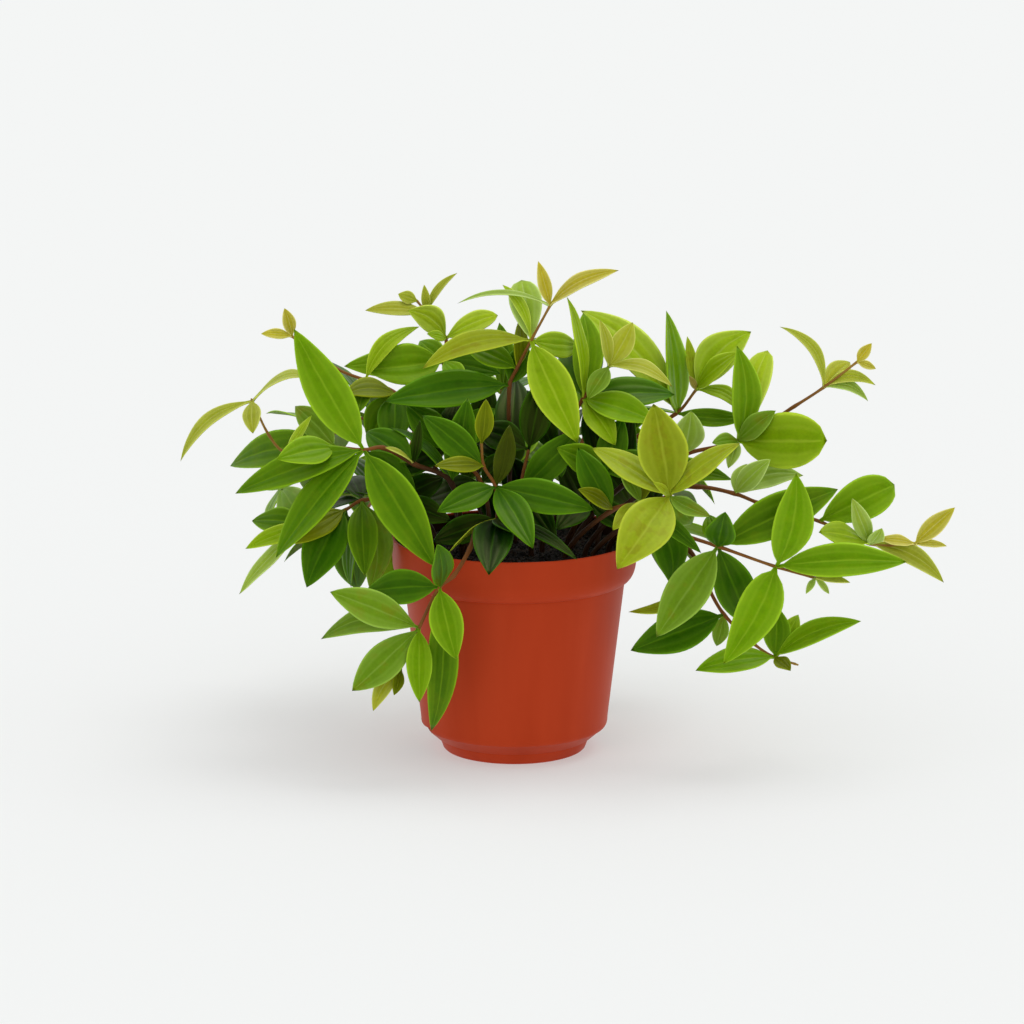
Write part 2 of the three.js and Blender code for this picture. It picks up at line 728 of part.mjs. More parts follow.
// Grows a leaf on its plant, with its tip moved a little where it would meet another leaf, or not at all
// where no place is free
function growLeaf(leaf, plant, neighbours) {
  const free = NUDGES.map((nudge) => ({ ...leaf, tip: leaf.tip.clone().addScaledVector(leaf.give, nudge) }))
    .find((bent) => {
      const whole = toSolid(leafGeometry(bent, CLEARANCE, 0));
      const outer = toSolid(leafGeometry(bent, 0, 1));
      return !touches(outer, plant.solid) && !neighbours.some((other) => touches(whole, other.solid));
    });
  if (free) {
    plant.solid = plant.solid.add(toSolid(leafGeometry(free, 0, 0)));
  }
}

function facing(side, rise) {
  const turn = THREE.MathUtils.degToRad(side);
  const lift = THREE.MathUtils.degToRad(rise);
  return new THREE.Vector3(Math.sin(turn) * Math.cos(lift), -Math.cos(turn) * Math.cos(lift), Math.sin(lift));
}

function drawnLeaf(plant, [point, across, up, depth, width, side, rise, form]) {
  const tip = seen([across, up, depth]);
  return {
    base: seen(plant.route[point]),
    tip,
    width,
    arch: ARCH,
    bend: 0,
    fullness: FULLNESS,
    pointedness: POINTEDNESS,
    ...form,
    drawn: true,
    face: facing(side, rise),
    give: tip.clone().sub(EYE).normalize(),
  };
}

// A repeatable draw from 0 to 1
function dice(seed) {
  let state = seed;
  return () => {
    state = (Math.imul(state, 1664525) + 1013904223) >>> 0;
    return state / 4294967296;
  };
}

function between([least, most], part) {
  return least + (most - least) * part;
}

// A ring of leaves round a stem at one of its points, which lean along it and rise a little. On a front
// stem they all point away from the viewer, behind the leaves that the front view shows.
function whorl(plant, point, draw) {
  const points = stemPoints(plant);
  const base = points[point + 2];
  const along = points[point + 3].clone().sub(points[point + 1]).normalize();
  const level = new THREE.Vector3(-along.y, along.x, 0).normalize();
  const upper = along.clone().cross(level);
  const start = draw() * 360;
  const drawn = plant.leaves.length > 0;
  return Array.from({ length: drawn ? BACK_LEAVES : WHORL_LEAVES }, (_, i) => {
    const turn = THREE.MathUtils.degToRad(start + i * WHORL_TURN);
    const length = between(WHORL_LENGTH, draw());
    const heading = level.clone().multiplyScalar(Math.cos(turn))
      .addScaledVector(upper, WHORL_LIFT * Math.sin(turn))
      .addScaledVector(along, between(WHORL_LEAN, draw()));
    heading.y = drawn ? Math.abs(heading.y) : heading.y;
    heading.normalize();
    const face = new THREE.Vector3(0, drawn ? -WHORL_TILT : WHORL_TILT, 1)
      .addScaledVector(upper, WHORL_TILT)
      .normalize();
    return {
      base,
      tip: base.clone().addScaledVector(heading, length),
      width: length * LEAF_SLENDERNESS,
      arch: between(WHORL_ARCH, draw()),
      bend: 0,
      fullness: FULLNESS,
      pointedness: POINTEDNESS,
      face,
      give: face,
    };
  });
}

// Materials

function finish(hex, roughness) {
  return new THREE.MeshStandardMaterial({ color: hex, roughness, metalness: 0 });
}

const TERRACOTTA = finish(0xa83a20, 0.55);
const PEAT = finish(0x2a1d14, 0.95);
const FOLIAGE = finish(0x4e8a18, 0.42);

// The assembly

function growPlants() {
  const plants = [...FRONT_STEMS, ...FAR_STEMS].map((plant) => ({ leaves: [], ...plant }));
  plants.forEach((plant) => {
    plant.solid = makeStem(plant);
  });
  const pot = makePot();
  const soil = makeSoil(plants);
  const others = (plant) => [{ solid: pot }, { solid: soil }, ...plants.filter((one) => one !== plant)];
  plants.forEach((plant) => {
    plant.leaves.forEach((row) => growLeaf(drawnLeaf(plant, row), plant, others(plant)));
  });
  plants.forEach((plant, i) => {
    const draw = dice(WHORL_SEED + i);
    plant.whorls.forEach((point) => {
      whorl(plant, point, draw).forEach((leaf) => growLeaf(leaf, plant, others(plant)));
    });
  });
  return { pot, soil, plants };
}

function named(name, solid, material) {
  const mesh = new THREE.Mesh(toGeometry(solid), material);
  mesh.name = name;
  return mesh;
}

const { pot, soil, plants } = growPlants();
const peperomia = new THREE.Group();
peperomia.add(named('pot', pot, TERRACOTTA), named('soil', soil, PEAT));
plants.forEach((plant) => peperomia.add(named(plant.name, plant.solid, FOLIAGE)));

export default peperomia;
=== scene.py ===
"""A potted beetle peperomia in a small terracotta-coloured nursery pot, dressed for rendering.

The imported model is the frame. Each leafy stem, the soil and the pot get a finer piece of the same form.
Tables and sizes are in millimetres, and meshes are in metres. +Z is up.
"""

import logging
import math
import random
from dataclasses import dataclass, field
from enum import Enum
from typing import Any, Callable, Iterator, Sequence

import bpy
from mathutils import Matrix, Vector
from mathutils.kdtree import KDTree

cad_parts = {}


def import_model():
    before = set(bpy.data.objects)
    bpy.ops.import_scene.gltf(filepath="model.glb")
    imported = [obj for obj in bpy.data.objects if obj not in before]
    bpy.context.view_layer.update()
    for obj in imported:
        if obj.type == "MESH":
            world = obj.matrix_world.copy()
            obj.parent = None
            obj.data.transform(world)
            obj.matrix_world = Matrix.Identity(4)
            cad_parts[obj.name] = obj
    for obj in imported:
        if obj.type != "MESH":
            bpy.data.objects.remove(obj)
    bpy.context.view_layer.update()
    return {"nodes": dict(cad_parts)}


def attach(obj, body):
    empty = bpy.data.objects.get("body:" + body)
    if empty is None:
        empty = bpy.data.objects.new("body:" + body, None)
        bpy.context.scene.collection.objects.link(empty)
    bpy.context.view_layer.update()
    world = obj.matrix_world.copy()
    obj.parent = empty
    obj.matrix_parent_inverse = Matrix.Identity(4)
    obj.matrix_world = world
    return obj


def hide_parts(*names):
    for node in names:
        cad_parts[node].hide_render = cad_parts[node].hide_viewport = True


log = logging.getLogger("peperomia")

MM = 0.001
WHITE = (1.0, 1.0, 1.0, 1.0)
Pair = tuple[float, float]
Triple = tuple[float, float, float]
Socket = bpy.types.NodeSocket
Material = bpy.types.Material
Given = Callable[[str], Socket]

# The eye that the front of the plant is described from, as in the solids
EYE = Vector((-1, -1563, 444))
CAMERA_TARGET = Vector((-1, 0, 103))
CAMERA_LENS = 131.8
CAMERA_SENSOR = 36.0

# The leaf rule that the solids follow
STALK_WIDTH = 1.1
ARCH = 0.07
FULLNESS = 0.88
POINTEDNESS = 0.85
NUDGES = (0, 4, -4, 8, -8, 12, -12, 17, -17, 22, -22)
TIP_MATCH = 0.2
CREASED_WIDTH = 16
LEAF_SLENDERNESS = 0.37
WHORL_LEAVES = 3
BACK_LEAVES = 2
WHORL_TURN = 137.5
WHORL_LENGTH = (30, 44)
WHORL_LEAN = (0.35, 0.75)
WHORL_LIFT = 0.6
WHORL_ARCH = (0.07, 0.12)
WHORL_TILT = 0.4
WHORL_SEED = 11
DICE_FACTOR = 1664525
DICE_STEP = 1013904223
DICE_RANGE = 4294967296

# How one leaf differs from the next
LIGHT_SPREAD = (0.94, 1.06)
YELLOW_SPREAD = (0.97, 1.03)
BLUE_SHARE = 0.95
BEND_SPREAD = (-0.02, 0.02)
CREASE = 0.16
FOLD_SPREAD = (0.04, 0.12)
TWIST_SPREAD = (-0.12, 0.12)
WAVE_SPREAD = (0.0, 0.03)
PHASE_SPREAD = (0.0, 6.28)

# Where a blade changes, from 0 at its base to 1 at its tip
STALK_FLATTENS = (0.04, 0.16)
STALK_MELTS = (0.25, 0.5)
WAVES_START = (0.1, 0.4)
RIBS_END = (0.75, 1.0)
TIP_THINS = (0.84, 1.0)
VEINS_START = (0.02, 0.15)
VEINS_END = (0.8, 1.0)
MIDRIB_ENDS = (0.9, 1.0)

# Where it changes across, from 0 at its midrib to 1 at its edge
MARGIN_BAND = (0.4, 1.0)
RIM_BAND = (0.86, 0.97)

# The block that becomes a blade: across and through it run from -1 to 1, and along it from 0 to 1
BLOCK_SIZE = (2, 1, 2)

# The stem rule that the solids follow
STEM_ROOT_LEVEL = 77
STEM_RISE_LEVEL = 91
STEM_ROOT_RADIUS = 1.6
STEM_TIP_RADIUS = 0.8
STEM_END = 1.4

# The first of a stem's points that is on its route, after its root and the point above that
ROUTE_START = 2

# The pot and its soil, as in the solids
RIM_RADIUS = 52.5
POT_HEIGHT = 93
WALL = 1.2
FLOOR = 1.6
LIP = 0.3
FOOT_RADIUS = 30.8
FOOT_HEIGHT = 4.6
HEEL_STEP = (3.0, 0.8)
HEEL_RADIUS = 40.2
HEEL_HEIGHT = 12.6
HEEL_ROUND = (1.4, 2.8)
SHOULDER_RADIUS = 47.4
SHOULDER_HEIGHT = 74.2
COLLAR_RADIUS = 52.1
COLLAR_HEIGHT = 82.5
HEEL_SLOT_LEVEL = 9.8
SOIL_GAP = 0.3
SOIL_LEVEL = 86
SOIL_EDGE_DROP = 4
SOIL_LUMP = 1.3
SOIL_WAVES = (0.31, 0.27, 0.12, 0.45)

# The pot's round holes, and what counts as the soil's top
FLOOR_HOLES = 4
HOLE_SIDES = 24
TOP_TOLERANCE = 0.5
TOP_SLOPE = 0.4

# The gaps that closing a mesh bridges
TURNED_SEAM = 0.01
BLADE_SEAM = 0.02
STEM_SEAM = 0.005
CUT_SEAM = 0.001


def linear(colour: Triple) -> tuple[float, float, float, float]:
    """Turns an sRGB colour in bytes into a linear one with alpha."""

    def one(byte: float) -> float:
        """Turns one channel."""
        value = byte / 255
        return value / 12.92 if value <= 0.04045 else ((value + 0.055) / 1.055) ** 2.4

    return (one(colour[0]), one(colour[1]), one(colour[2]), 1.0)


def lerp(least: float, most: float, part: float) -> float:
    """Gives the value a part of the way from least to most."""
    return least + (most - least) * part


@dataclass(frozen=True)
class LeafTone:
    """The colours of one kind of leaf, in sRGB bytes.

    Attributes:
        blade: the colour between the veins.
        vein: the colour of the midrib, the side veins and the margin.
        blotched: how strongly olive-brown blotches show on it, from 0 to 1.
    """

    blade: Triple
    vein: Triple
    blotched: float = 0.12


class Tone(Enum):
    """The kinds of leaf, from old dark ones to young yellow ones and buds. The darkest kind is a dark leaf
    with painted shade, for leaves deep inside the plant, and the grey-green and the pale kinds carry a
    painted sheen.
    """

    # A dark moss-green leaf with painted shade, for leaves deep inside the plant
    SHADED_MOSS = LeafTone((2, 28, 2), (42, 85, 2), 0.0)
    UMBER = LeafTone((45, 56, 2), (62, 74, 7))
    DEEP = LeafTone((44, 92, 2), (88, 135, 14), 0.05)
    MID = LeafTone((71, 114, 2), (119, 159, 21))
    BRIGHT = LeafTone((104, 149, 2), (146, 184, 37))
    LIGHT = LeafTone((135, 169, 7), (175, 201, 51))
    FRESH = LeafTone((157, 185, 29), (198, 217, 91))
    OLIVE = LeafTone((142, 158, 23), (171, 185, 51), 0.45)
    MUSTARD = LeafTone((163, 170, 44), (194, 199, 97))
    AMBER = LeafTone((191, 178, 46), (217, 209, 122), 0.3)
    BRONZE = LeafTone((97, 109, 2), (138, 148, 20))
    # A grey-green leaf with a painted sheen in its colours
    SHEEN = LeafTone((101, 139, 25), (139, 173, 65), 0.4)
    # A pale green leaf with a painted sheen in its colours
    PALE_SHEEN = LeafTone((149, 177, 62), (189, 213, 124))
    PINK = LeafTone((161, 146, 69), (190, 176, 104))

# The tones of the leaves placed by rule, behind the stems that the front view shows and on the others.
# Those behind take a deep green or the darkest tone, with its painted shade.
BACK_TONES = (Tone.SHADED_MOSS, Tone.DEEP)
WHORL_TONES = (Tone.DEEP, Tone.MID, Tone.MID, Tone.BRIGHT)


@dataclass(frozen=True)
class DrawnLeaf:
    """A leaf that the front view shows.

    Attributes:
        point: the route point that it grows from.
        tip: its tip as [across, up, depth] of the front view.
        width: its greatest width.
        side: the way its face looks, in degrees right of the viewer.
        rise: the way its face looks, in degrees above level.
        tone: its colours.
        arch: its bow over its length.
        bend: its bow sideways over its length, to the right hand of its way out.
        fullness: larger where the blade is widest nearer to its tip.
        pointedness: smaller where its ends are blunter.
    """

    point: int
    tip: Triple
    width: float
    side: float
    rise: float
    tone: Tone
    arch: float = ARCH
    bend: float = 0.0
    fullness: float = FULLNESS
    pointedness: float = POINTEDNESS


@dataclass(frozen=True)
class StemPlan:
    """A leafy stem as the solids have it.

    Attributes:
        name: the solid's name.
        root: the stem's place in the soil, in plan.
        route: its points as [across, up, depth] of the front view.
        leaves: the leaves that the front view shows.
        whorls: the route points with leaves placed by rule.
    """

    name: str
    root: Pair
    route: tuple[Triple, ...]
    leaves: tuple[DrawnLeaf, ...] = ()
    whorls: tuple[int, ...] = ()


FRONT_STEMS = (
    StemPlan(
        name="stem_trailing_left",
        root=(-12, -36),
        route=(
            (-16, 95, -44), (-19, 87, -52), (-26, 75, -58), (-32, 70, -60),
            (-41, 52, -60), (-44, 45, -59), (-49, 34, -58),
        ),
        leaves=(
            DrawnLeaf(3, (-25, 38, -70), 14, 5, 0, Tone.BRIGHT),
            DrawnLeaf(3, (-33, 89, -74), 12, 30, 20, Tone.DEEP),
            DrawnLeaf(3, (-64, 68, -52), 15, -5, 25, Tone.DEEP),
            DrawnLeaf(4, (-79, 68, -66), 15, 0, 30, Tone.SHEEN, fullness=1.05),
            DrawnLeaf(4, (-41, 19, -72), 11, 15, 5, Tone.BRIGHT),
            DrawnLeaf(3, (-36, 6, -50), 13, -10, 5, Tone.MID, bend=-0.05),
            DrawnLeaf(4, (-83, 47, -44), 13, -5, 40, Tone.SHEEN, bend=0.1),
            DrawnLeaf(4, (-70, 24, -70), 15, 0, 15, Tone.SHEEN, fullness=1.05),
            DrawnLeaf(6, (-61, 15, -64), 7, 0, 10, Tone.MUSTARD, bend=0.1),
            DrawnLeaf(6, (-52, 22, -66), 5, 20, 10, Tone.BRONZE),
        ),
    ),
    StemPlan(
        name="stem_front_right",
        root=(22, -24),
        route=((42, 104, -36), (54, 107, -42), (66, 110, -48)),
        leaves=(
            DrawnLeaf(2, (44, 78, -80), 21, 0, 25, Tone.OLIVE),
            DrawnLeaf(2, (59, 150, -40), 21, 0, 12, Tone.OLIVE),
            DrawnLeaf(2, (33, 131, -58), 15, 0, 62, Tone.OLIVE),
            DrawnLeaf(2, (96, 133, -54), 14, 0, 62, Tone.OLIVE),
            DrawnLeaf(2, (59, 116, -60), 4, 0, 30, Tone.OLIVE),
            DrawnLeaf(2, (75, 101, -56), 4, 0, 30, Tone.LIGHT),
            DrawnLeaf(1, (44, 125, -44), 7, 20, 40, Tone.SHEEN),
            DrawnLeaf(1, (42, 95, -58), 8, 0, 40, Tone.OLIVE),
            DrawnLeaf(1, (56, 121, -46), 8, -20, 20, Tone.BRONZE),
            DrawnLeaf(2, (76, 98, -38), 12, 0, 20, Tone.SHEEN),
            DrawnLeaf(2, (84, 101, -40), 8, 0, 50, Tone.SHEEN, bend=0.12),
            DrawnLeaf(0, (27, 131, -30), 13, -10, 30, Tone.DEEP),
            DrawnLeaf(0, (27, 113, -46), 8, 0, 45, Tone.BRONZE),
            DrawnLeaf(1, (80, 85, -36), 7, 0, 20, Tone.DEEP),
        ),
    ),
    StemPlan(
        name="stem_left_front",
        root=(-22, -16),
        route=(
            (-27, 116, -24), (-43, 124, -30), (-56, 131, -35), (-64, 130, -37), (-76, 131, -34),
            (-97, 129, -30), (-104, 136, -29), (-111, 151, -27),
        ),
        leaves=(
            DrawnLeaf(3, (-93, 182, -42), 18, 0, 14, Tone.BRIGHT, bend=-0.02),
            DrawnLeaf(3, (-34, 79, -56), 19, -5, 10, Tone.MID),
            DrawnLeaf(3, (-102, 83, -50), 17, -25, 25, Tone.MID),
            DrawnLeaf(3, (-119, 111, -38), 16, -10, 45, Tone.MID),
            DrawnLeaf(3, (-42, 110, -24), 14, 20, 20, Tone.DEEP),
            DrawnLeaf(4, (-121, 123, -18), 16, -5, 25, Tone.MID, bend=0.03),
            DrawnLeaf(4, (-101, 126, -44), 14, -10, 30, Tone.BRIGHT),
            DrawnLeaf(4, (-108, 113, -14), 15, 0, 35, Tone.MID),
            DrawnLeaf(5, (-86, 145, -34), 4, 0, 20, Tone.FRESH),
            DrawnLeaf(4, (-93, 149, -18), 12, 0, 30, Tone.SHEEN),
            DrawnLeaf(7, (-87, 161, -42), 8, 0, 60, Tone.MUSTARD, bend=-0.2),
            DrawnLeaf(7, (-142, 125, -34), 8, -20, 55, Tone.MUSTARD, bend=0.13),
            DrawnLeaf(7, (-111, 137, -42), 8, -10, 30, Tone.MUSTARD),
            DrawnLeaf(1, (-40, 143, -32), 5, 0, 10, Tone.SHADED_MOSS),
            DrawnLeaf(1, (-55, 131, -42), 5, 0, 60, Tone.MUSTARD),
            DrawnLeaf(1, (-63, 138, -14), 15, 0, 40, Tone.DEEP),
        ),
        whorls=(0,),
    ),
    StemPlan(
        name="stem_front_centre",
        root=(-6, -26),
        route=((-7, 100, -30), (-8, 114, -32), (-13, 123, -33), (-14, 133, -34)),
        leaves=(
            DrawnLeaf(1, (34, 104, -44), 15, 5, 30, Tone.DEEP),
            DrawnLeaf(1, (8, 87, -60), 14, 10, 30, Tone.DEEP),
            DrawnLeaf(1, (-33, 103, -50), 12, 0, 25, Tone.DEEP),
            DrawnLeaf(1, (-2, 141, -30), 9, 20, 10, Tone.UMBER),
            DrawnLeaf(2, (-39, 145, -26), 13, -10, 25, Tone.DEEP),
            DrawnLeaf(2, (-34, 123, -40), 8, 0, 40, Tone.BRONZE),
            DrawnLeaf(3, (-12, 152, -38), 8, 10, 10, Tone.BRONZE),
            DrawnLeaf(0, (-11, 75, -64), 17, 0, 25, Tone.SHADED_MOSS),
            DrawnLeaf(0, (2, 93, -50), 12, 10, 40, Tone.SHADED_MOSS),
            DrawnLeaf(0, (-28, 85, -52), 9, -70, 10, Tone.OLIVE),
            DrawnLeaf(0, (27, 82, -54), 7, 0, 65, Tone.SHADED_MOSS),
            DrawnLeaf(0, (-35, 90, -36), 12, -10, 20, Tone.SHADED_MOSS),
        ),
    ),
    StemPlan(
        name="stem_right_low",
        root=(34, -22),
        route=((58, 101, -34), (70, 94, -40), (87, 88, -44), (112, 79, -46), (129, 74, -46)),
        leaves=(
            DrawnLeaf(2, (61, 48, -62), 18, 0, 20, Tone.SHEEN),
            DrawnLeaf(0, (67, 72, -30), 15, 5, 5, Tone.DEEP, bend=-0.12),
            DrawnLeaf(2, (138, 113, -34), 18, 10, 25, Tone.MID),
            DrawnLeaf(2, (90, 103, -62), 13, 0, 30, Tone.DEEP),
            DrawnLeaf(2, (83, 102, -34), 9, 0, 30, Tone.MID),
            DrawnLeaf(2, (101, 53, -36), 17, 0, 15, Tone.DEEP),
            DrawnLeaf(3, (120, 120, -50), 17, 5, 15, Tone.BRIGHT, bend=0.08),
            DrawnLeaf(3, (168, 81, -50), 15, 0, 30, Tone.BRIGHT),
            DrawnLeaf(3, (90, 36, -64), 18, -10, 15, Tone.BRIGHT, bend=-0.04, fullness=0.72),
            DrawnLeaf(4, (144, 72, -52), 4, 0, 50, Tone.MUSTARD),
            DrawnLeaf(4, (125, 67, -52), 3, 0, 40, Tone.PALE_SHEEN),
            DrawnLeaf(4, (135, 67, -44), 3, 0, 40, Tone.PALE_SHEEN),
        ),
        whorls=(0,),
    ),
    StemPlan(
        name="stem_right_lowest",
        root=(41, -7),
        route=(
            (56, 100, -15), (75, 86, -26), (83, 70, -28), (90, 58, -29), (103, 45, -31), (112, 39, -32),
            (121, 36, -32),
        ),
        leaves=(
            DrawnLeaf(2, (49, 59, -34), 7, 0, 60, Tone.OLIVE, bend=-0.15),
            DrawnLeaf(3, (50, 42, -36), 17, 0, 25, Tone.DEEP),
            DrawnLeaf(3, (87, 44, -24), 7, 0, 20, Tone.SHEEN),
            DrawnLeaf(5, (78, 33, -42), 13, 0, 50, Tone.BRIGHT),
            DrawnLeaf(5, (112, 62, -24), 12, 10, 15, Tone.MID),
            DrawnLeaf(5, (149, 55, -34), 11, 0, 45, Tone.BRIGHT, bend=-0.08),
            DrawnLeaf(5, (122, 58, -20), 9, 0, 20, Tone.LIGHT),
            DrawnLeaf(5, (119, 33, -40), 7, 20, 30, Tone.BRONZE),
        ),
    ),
    StemPlan(
        name="stem_right_middle",
        root=(31, -13),
        route=(
            (56, 112, -17), (78, 114, -20), (94, 111, -22), (104, 107, -24), (130, 99, -27), (152, 89, -28),
            (171, 89, -28),
        ),
        leaves=(
            DrawnLeaf(2, (109, 126, -28), 10, 0, 35, Tone.PALE_SHEEN),
            DrawnLeaf(2, (99, 124, -16), 8, 0, 20, Tone.PALE_SHEEN),
            DrawnLeaf(2, (123, 119, -14), 13, 0, 50, Tone.PALE_SHEEN, bend=-0.1),
            DrawnLeaf(4, (162, 115, -20), 18, 0, 20, Tone.BRIGHT, fullness=1.3, pointedness=0.5),
            DrawnLeaf(5, (130, 94, -34), 14, 0, 50, Tone.LIGHT, fullness=1.2),
            DrawnLeaf(5, (144, 109, -32), 8, 0, 20, Tone.PALE_SHEEN),
            DrawnLeaf(5, (157, 96, -36), 7, 20, 20, Tone.PALE_SHEEN),
            DrawnLeaf(6, (156, 91, -34), 6, 0, 55, Tone.AMBER),
            DrawnLeaf(6, (188, 105, -30), 8, 0, 15, Tone.AMBER),
            DrawnLeaf(6, (185, 88, -32), 4, 0, 50, Tone.AMBER),
            DrawnLeaf(5, (184, 72, -34), 9, 10, 30, Tone.MUSTARD, bend=-0.08),
        ),
        whorls=(0,),
    ),
    StemPlan(
        name="stem_top_centre",
        root=(-2, 2),
        route=((-2, 128, -2), (-2, 158, -4), (1, 165, -5), (7, 177, -6), (15, 192, -7)),
        leaves=(
            DrawnLeaf(3, (27, 133, -26), 18, 5, 12, Tone.LIGHT),
            DrawnLeaf(3, (-39, 165, -16), 12, -5, 50, Tone.OLIVE, bend=0.1),
            DrawnLeaf(1, (-55, 151, -16), 18, 0, 40, Tone.DEEP),
            DrawnLeaf(3, (3, 203, 10), 14, 0, 20, Tone.PALE_SHEEN, fullness=1.4, pointedness=0.5),
            DrawnLeaf(3, (-5, 201, 2), 5, 0, 20, Tone.FRESH, bend=0.1, fullness=1.2),
            DrawnLeaf(2, (-21, 175, 4), 12, 0, 45, Tone.MID),
            DrawnLeaf(2, (2, 186, 0), 8, 40, 10, Tone.BRONZE),
            DrawnLeaf(4, (10, 211, -10), 6, 20, 10, Tone.AMBER),
            DrawnLeaf(4, (44, 207, -14), 9, 0, 55, Tone.AMBER, arch=0.15),
            DrawnLeaf(4, (-24, 193, 0), 4, 0, 70, Tone.PALE_SHEEN, bend=0.16),
            DrawnLeaf(3, (27, 175, 14), 12, 10, 30, Tone.LIGHT, bend=0.06),
            DrawnLeaf(0, (2, 110, 6), 14, 0, 30, Tone.SHADED_MOSS),
            DrawnLeaf(0, (-15, 134, 10), 11, 0, 30, Tone.SHADED_MOSS),
            DrawnLeaf(1, (5, 176, 2), 11, 0, 20, Tone.DEEP),
        ),
        whorls=(0,),
    ),
    StemPlan(
        name="stem_top_right",
        root=(12, -4),
        route=((18, 128, -6), (29, 152, -8), (40, 166, -8)),
        leaves=(
            DrawnLeaf(1, (60, 142, -20), 15, 0, 50, Tone.BRIGHT),
            DrawnLeaf(1, (43, 132, -22), 12, 20, 30, Tone.LIGHT),
            DrawnLeaf(1, (22, 196, -10), 9, 60, 10, Tone.LIGHT),
            DrawnLeaf(1, (29, 189, 2), 14, -20, 10, Tone.BRIGHT, bend=0.08),
            DrawnLeaf(1, (68, 154, 2), 16, 0, 45, Tone.DEEP),
            DrawnLeaf(2, (36, 186, -10), 7, 40, 10, Tone.MUSTARD),
            DrawnLeaf(2, (50, 185, -8), 10, 0, 15, Tone.MUSTARD),
            DrawnLeaf(2, (67, 157, -16), 9, 0, 60, Tone.MUSTARD, arch=0.2),
            DrawnLeaf(2, (31, 152, -18), 9, -10, 30, Tone.SHEEN),
            DrawnLeaf(0, (20, 118, -16), 6, 30, 10, Tone.DEEP),
            DrawnLeaf(0, (33, 101, 4), 13, 0, 30, Tone.SHADED_MOSS),
        ),
        whorls=(0, 1),
    ),
    StemPlan(
        name="stem_right_upper",
        root=(26, 2),
        route=(
            (48, 116, 2), (72, 128, -1), (95, 134, -5), (119, 149, -8),
            (131, 157, -9), (145, 168, -10),
        ),
        leaves=(
            DrawnLeaf(2, (133, 134, -24), 24, 5, 15, Tone.LIGHT, fullness=1.25, pointedness=0.5),
            DrawnLeaf(2, (94, 175, -2), 14, 20, 10, Tone.BRIGHT, bend=0.08),
            DrawnLeaf(2, (111, 147, -8), 10, 0, 35, Tone.SHEEN),
            DrawnLeaf(2, (107, 173, 10), 14, -20, 20, Tone.FRESH, fullness=1.2, pointedness=0.5),
            DrawnLeaf(0, (93, 117, 6), 12, 0, 35, Tone.MID, bend=-0.08),
            DrawnLeaf(2, (84, 133, -16), 8, 0, 30, Tone.SHEEN),
            DrawnLeaf(2, (91, 122, -14), 6, 0, 30, Tone.PALE_SHEEN),
            DrawnLeaf(1, (75, 147, -8), 14, 10, 20, Tone.PALE_SHEEN),
            DrawnLeaf(4, (112, 183, -4), 6, -10, 60, Tone.MUSTARD, bend=0.18),
            DrawnLeaf(4, (153, 158, -16), 6, 0, 40, Tone.MUSTARD, bend=-0.2),
            DrawnLeaf(4, (150, 151, -12), 5, 0, 30, Tone.PALE_SHEEN, bend=-0.2),
            DrawnLeaf(4, (142, 168, 0), 10, 0, 20, Tone.MUSTARD),
            DrawnLeaf(5, (151, 176, -12), 5, 0, 10, Tone.AMBER),
            DrawnLeaf(5, (153, 165, -14), 4, 0, 40, Tone.AMBER),
        ),
        whorls=(0,),
    ),
    StemPlan(
        name="stem_right_spike",
        root=(14, 12),
        route=((36, 125, 14), (69, 146, 18), (77, 156, 19)),
        leaves=(
            DrawnLeaf(1, (64, 190, 14), 18, 55, 10, Tone.BRIGHT, arch=0, bend=0.02, fullness=0.6),
            DrawnLeaf(1, (99, 144, 16), 9, 0, 40, Tone.MID, bend=0.08),
            DrawnLeaf(1, (28, 190, 18), 17, 10, 30, Tone.FRESH, arch=0.22),
            DrawnLeaf(2, (100, 181, 24), 17, 10, 25, Tone.FRESH, bend=-0.12),
            DrawnLeaf(2, (95, 172, 12), 12, 0, 50, Tone.LIGHT),
            DrawnLeaf(2, (97, 146, 10), 8, 0, 50, Tone.LIGHT, bend=-0.18),
            DrawnLeaf(2, (81, 165, 17), 3, 0, 20, Tone.PINK),
            DrawnLeaf(2, (74, 162, 15), 3, 0, 20, Tone.PINK),
            DrawnLeaf(2, (73, 179, 25), 5, 0, 30, Tone.OLIVE),
            DrawnLeaf(0, (50, 105, 18), 14, 0, 30, Tone.SHADED_MOSS),
        ),
        whorls=(0,),
    ),
    StemPlan(
        name="stem_top_left",
        root=(-12, 10),
        route=((-18, 130, 14), (-30, 168, 26), (-29, 178, 29), (-37, 189, 33), (-41, 194, 35)),
        leaves=(
            DrawnLeaf(1, (-63, 164, 14), 19, -5, 25, Tone.BRIGHT),
            DrawnLeaf(1, (-72, 166, 28), 14, -10, 30, Tone.BRIGHT),
            DrawnLeaf(1, (-21, 158, 12), 9, 0, 40, Tone.BRIGHT),
            DrawnLeaf(2, (-45, 190, 22), 12, 0, 30, Tone.FRESH, bend=0.12),
            DrawnLeaf(2, (-7, 188, 24), 11, 0, 40, Tone.FRESH, fullness=1.2, pointedness=0.6),
            DrawnLeaf(2, (-37, 180, 22), 5, 0, 30, Tone.LIGHT),
            DrawnLeaf(3, (-24, 206, 34), 4, -30, 20, Tone.MUSTARD, bend=-0.08),
            DrawnLeaf(3, (-63, 190, 32), 8, 0, 50, Tone.MUSTARD),
            DrawnLeaf(3, (-38, 201, 36), 4, 0, 10, Tone.MUSTARD),
            DrawnLeaf(4, (-49, 197, 35), 6, 0, 30, Tone.MUSTARD),
            DrawnLeaf(1, (-6, 163, 20), 11, 0, 30, Tone.DEEP),
            DrawnLeaf(1, (-40, 177, 30), 11, 0, 30, Tone.BRIGHT),
        ),
        whorls=(0,),
    ),
    StemPlan(
        name="stem_far_left",
        root=(-21, -3),
        route=((-34, 130, 2), (-50, 154, 6), (-63, 160, 8), (-75, 165, 9), (-94, 179, 12)),
        leaves=(
